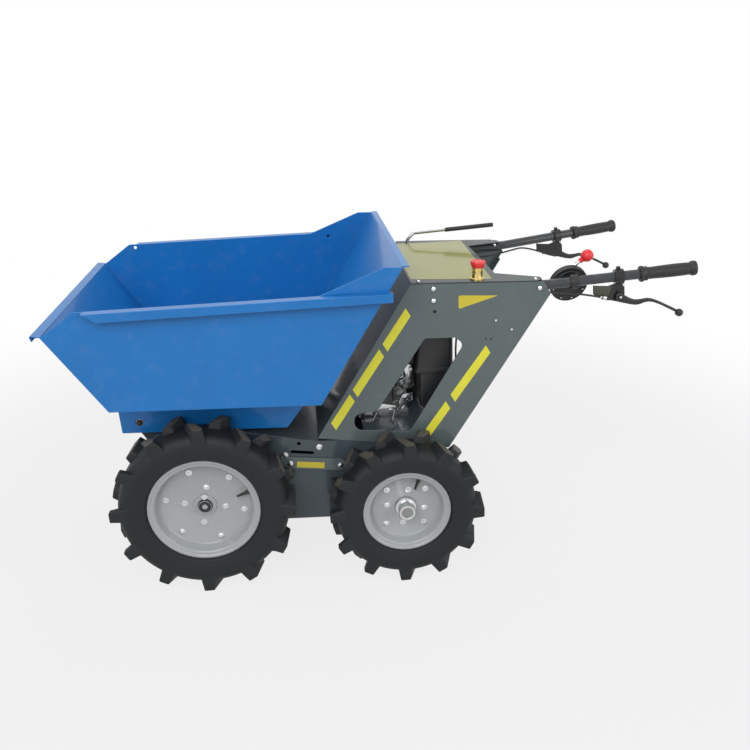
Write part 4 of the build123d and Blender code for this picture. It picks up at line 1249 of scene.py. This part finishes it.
def on_handle(x):
    """Point on the axis of the left handle's splayed stretch, in millimetres."""
    share = (x - handle_bend.x) / (handle_end.x - handle_bend.x)
    return handle_bend + (handle_end - handle_bend) * share


def make_grip_and_lever(body):
    """Grip, lever, cover plate, adjuster, clamp screw and small screws of both handles."""
    blade = plate(lever_outline, *lever_sides, 2.6)
    cover = plate(olive_outline, *cover_sides, 0.4, 2)
    grip_foot = on_handle(grip_x)
    clamp_top = on_handle(clamp_x) + Vector((2, 0, 15))
    left = [
        turned(
            "grip_sleeve_left", grip_profile, grip_foot, handle_way, "grip_rubber", body,
            "grip_left",
        ),
        add_piece("lever_blade_left", blade, "black_plastic", body, "hand_lever_left"),
        turned(
            "lever_knob_left", lever_knob, (-781, 247.3, 706), (-55, 0, -25), "black_plastic", body
        ),
        add_piece("lever_cover_left", cover, "olive_plastic", body),
        turned(
            "cable_adjuster_left", adjuster_profile, (-583, 246.5, 748.8), (1, 0, 0.2),
            "bright_zinc", body,
        ),
        turned(
            "clamp_screw_left", clamp_screw_profile, clamp_top, (0.35, 0, 1), "black_paint", body,
            steps=6,
        ),
    ]
    for piece in left:
        mirrored(piece)
    screws = [(at(-618, 253, 752), leftwards), (at(-626, 243, 781), leftwards)]
    bolts("lever_screws", both_sides(screws), body, across=7, dome=True)
    # Dark disc of painted shade for the casting's hole
    hole = both_sides([(at(-610.6, 243, 766.5), leftwards)])
    bores("casting_holes", hole, 3.2, 0.4, body)


def make_throttle(body):
    """Drum rims, screws and knob of the throttle on the left handle."""
    place = facing(throttle_centre * mm, throttle_axis)
    rings = merged([spun(in_mm(profile), 56, closed=True) for profile in drum_rings], place)
    add_piece("throttle_rims", close_and_point_out(rings), "black_plastic", body)
    across = throttle_axis.cross(Vector(upwards)).normalized()
    up = across.cross(throttle_axis)
    spots = []
    for degrees in throttle_screws:
        turn = math.radians(degrees)
        out = across * math.cos(turn) + up * math.sin(turn)
        point = throttle_centre + out * screw_circle
        spots.append((point * mm, -throttle_axis))
    bolts("throttle_screws", spots, body, across=4.5, dome=True)
    coat, node = "red_plastic", "throttle_knob"
    turned("throttle_ball", throttle_knob, knob_foot, knob_way, coat, body, node)


class DUMPER_OT_controls(bpy.types.Operator):
    """Finish the handles, grips, levers, throttle, filler and cables"""

    bl_idname = "dumper.controls"
    bl_label = "Controls"

    def execute(self, context):
        body = body_of_node("handlebar_left")
        dress(control_coats)
        make_grip_and_lever(body)
        make_throttle(body)
        heads = [(at(-499.3, 235.6, 785), (0, 1, 0.1)), (at(-408, -203, 787), leftwards)]
        bolts("handle_bolts", heads, body, across=9, dome=True)
        neck, lid = filler_neck_profile, filler_cap_profile
        turned("filler_tube", neck, filler_foot, upwards, "brass", body, "filler_neck")
        turned("filler_lid", lid, filler_foot, upwards, "red_plastic", body, "filler_cap")
        return {"FINISHED"}


# ---- Stage ----
world_strength = 0.5
floor_level = 165
# The floor keeps 80% of white for viewers near the object, and is all white beyond its fade
floor_white = 0.8
floor_fade = (1.1, 2.6)
# Soft square lamps: place, aim, width and power
lamp_table = {
    "key_light": ((1.3, 3.0, 2.7), (0.1, 0, 0.4), 2.6, 78),
    "fill_light": ((-2.8, 2.2, 1.7), (0, 0, 0.4), 2.4, 34),
    "back_light": ((0.2, -1.6, 4.4), (0, 0, 0.5), 2.0, 40),
}
camera_place = (0.199, 2.0683, 1.3041)
# Heading, tilt and roll in degrees, with the axis that each turns about
camera_turns = [(174.859, "Z"), (67.821, "X"), (0.135, "Z")]


def make_world():
    """White for viewers and reflections, and plain weaker light on the object."""
    world = bpy.data.worlds.new("studio")
    bpy.context.scene.world = world
    world.use_nodes = True
    shading = Shading(world.node_tree)
    light = shading.tree.nodes["Background"]
    shading.give(light.inputs["Color"], (1, 1, 1))
    shading.give(light.inputs["Strength"], world_strength)
    shown = shading.node("ShaderNodeBackground", values={"Color": (1, 1, 1), "Strength": 1})
    seen = shading.seen_by("Camera", "Glossy", "Transmission")
    shading.show_blend(seen, light.outputs[0], shown.outputs[0])


def make_floor():
    """Pale floor that keeps the object's shadow and fades to white all round."""
    bm = bmesh.new()
    bmesh.ops.create_circle(bm, cap_ends=True, segments=64, radius=14, matrix=Matrix.Identity(4))
    floor = placed("floor", mesh_of("floor", bm))
    made = Finish("floor_white", linear(*[floor_level] * 3), 0.9)
    away = made.node("ShaderNodeVectorMath", {"operation": "LENGTH"}, {0: made.place})
    far = Signal(made, away.outputs["Value"]).above(*floor_fade)
    glow = made.node("ShaderNodeEmission", values={"Color": (1, 1, 1), "Strength": 1}).outputs[0]
    share = made.seen_by("Camera", "Glossy") * (floor_white + (1 - floor_white) * far)
    made.show_blend(share, made.shader.outputs[0], glow)
    floor.data.materials.append(made.material)


def make_lamp(name, place, aim, width, power):
    light = bpy.data.lights.new(name, "AREA")
    light.shape = "SQUARE"
    light.size = width
    light.energy = power
    lamp = placed(name, light)
    lamp.matrix_world = facing(place, Vector(place) - Vector(aim))


def make_camera():
    data = bpy.data.cameras.new("camera")
    data.lens = 37.27
    data.sensor_width = 36
    data.shift_x = 0.0187
    data.shift_y = 0.001
    camera = placed("camera", data)
    stand = Matrix.Translation(camera_place)
    for degrees, axis in camera_turns:
        stand = stand @ Matrix.Rotation(math.radians(degrees), 4, axis)
    camera.matrix_world = stand
    bpy.context.scene.camera = camera


class DUMPER_OT_stage(bpy.types.Operator):
    """Set the floor, soft studio light and camera"""

    bl_idname = "dumper.stage"
    bl_label = "Stage"

    def execute(self, context):
        context.scene.view_settings.view_transform = "Standard"
        make_world()
        make_floor()
        for name, lamp in lamp_table.items():
            make_lamp(name, *lamp)
        make_camera()
        return {"FINISHED"}


# ---- Panel and start ----
class DUMPER_PT_panel(bpy.types.Panel):
    """Sidebar panel with the dumper's sizes, colours and steps"""

    bl_label = "Dumper"
    bl_space_type = "VIEW_3D"
    bl_region_type = "UI"
    bl_category = "Dumper"

    def draw(self, context):
        for group in (context.scene.dumper_sizes, context.scene.dumper_colours):
            for setting in group.bl_rna.properties:
                if setting.identifier not in ("rna_type", "name"):
                    self.layout.prop(group, setting.identifier)
        for step in steps:
            self.layout.operator(step.bl_idname)


steps = (
    DUMPER_OT_stage, DUMPER_OT_wheels, DUMPER_OT_skip, DUMPER_OT_chassis, DUMPER_OT_console,
    DUMPER_OT_engine, DUMPER_OT_controls,
)
classes = (DumperSizes, DumperColours, *steps, DUMPER_PT_panel)


def register():
    for each in classes:
        bpy.utils.register_class(each)
    bpy.types.Scene.dumper_sizes = PointerProperty(type=DumperSizes)
    bpy.types.Scene.dumper_colours = PointerProperty(type=DumperColours)


def unregister():
    del bpy.types.Scene.dumper_colours
    del bpy.types.Scene.dumper_sizes
    for each in reversed(classes):
        bpy.utils.unregister_class(each)


def main():
    register()
    bpy.ops.dumper.stage()
    bpy.ops.dumper.wheels()
    bpy.ops.dumper.skip()
    bpy.ops.dumper.chassis()
    bpy.ops.dumper.console()
    bpy.ops.dumper.engine()
    bpy.ops.dumper.controls()


if __name__ == "__main__":
    main()
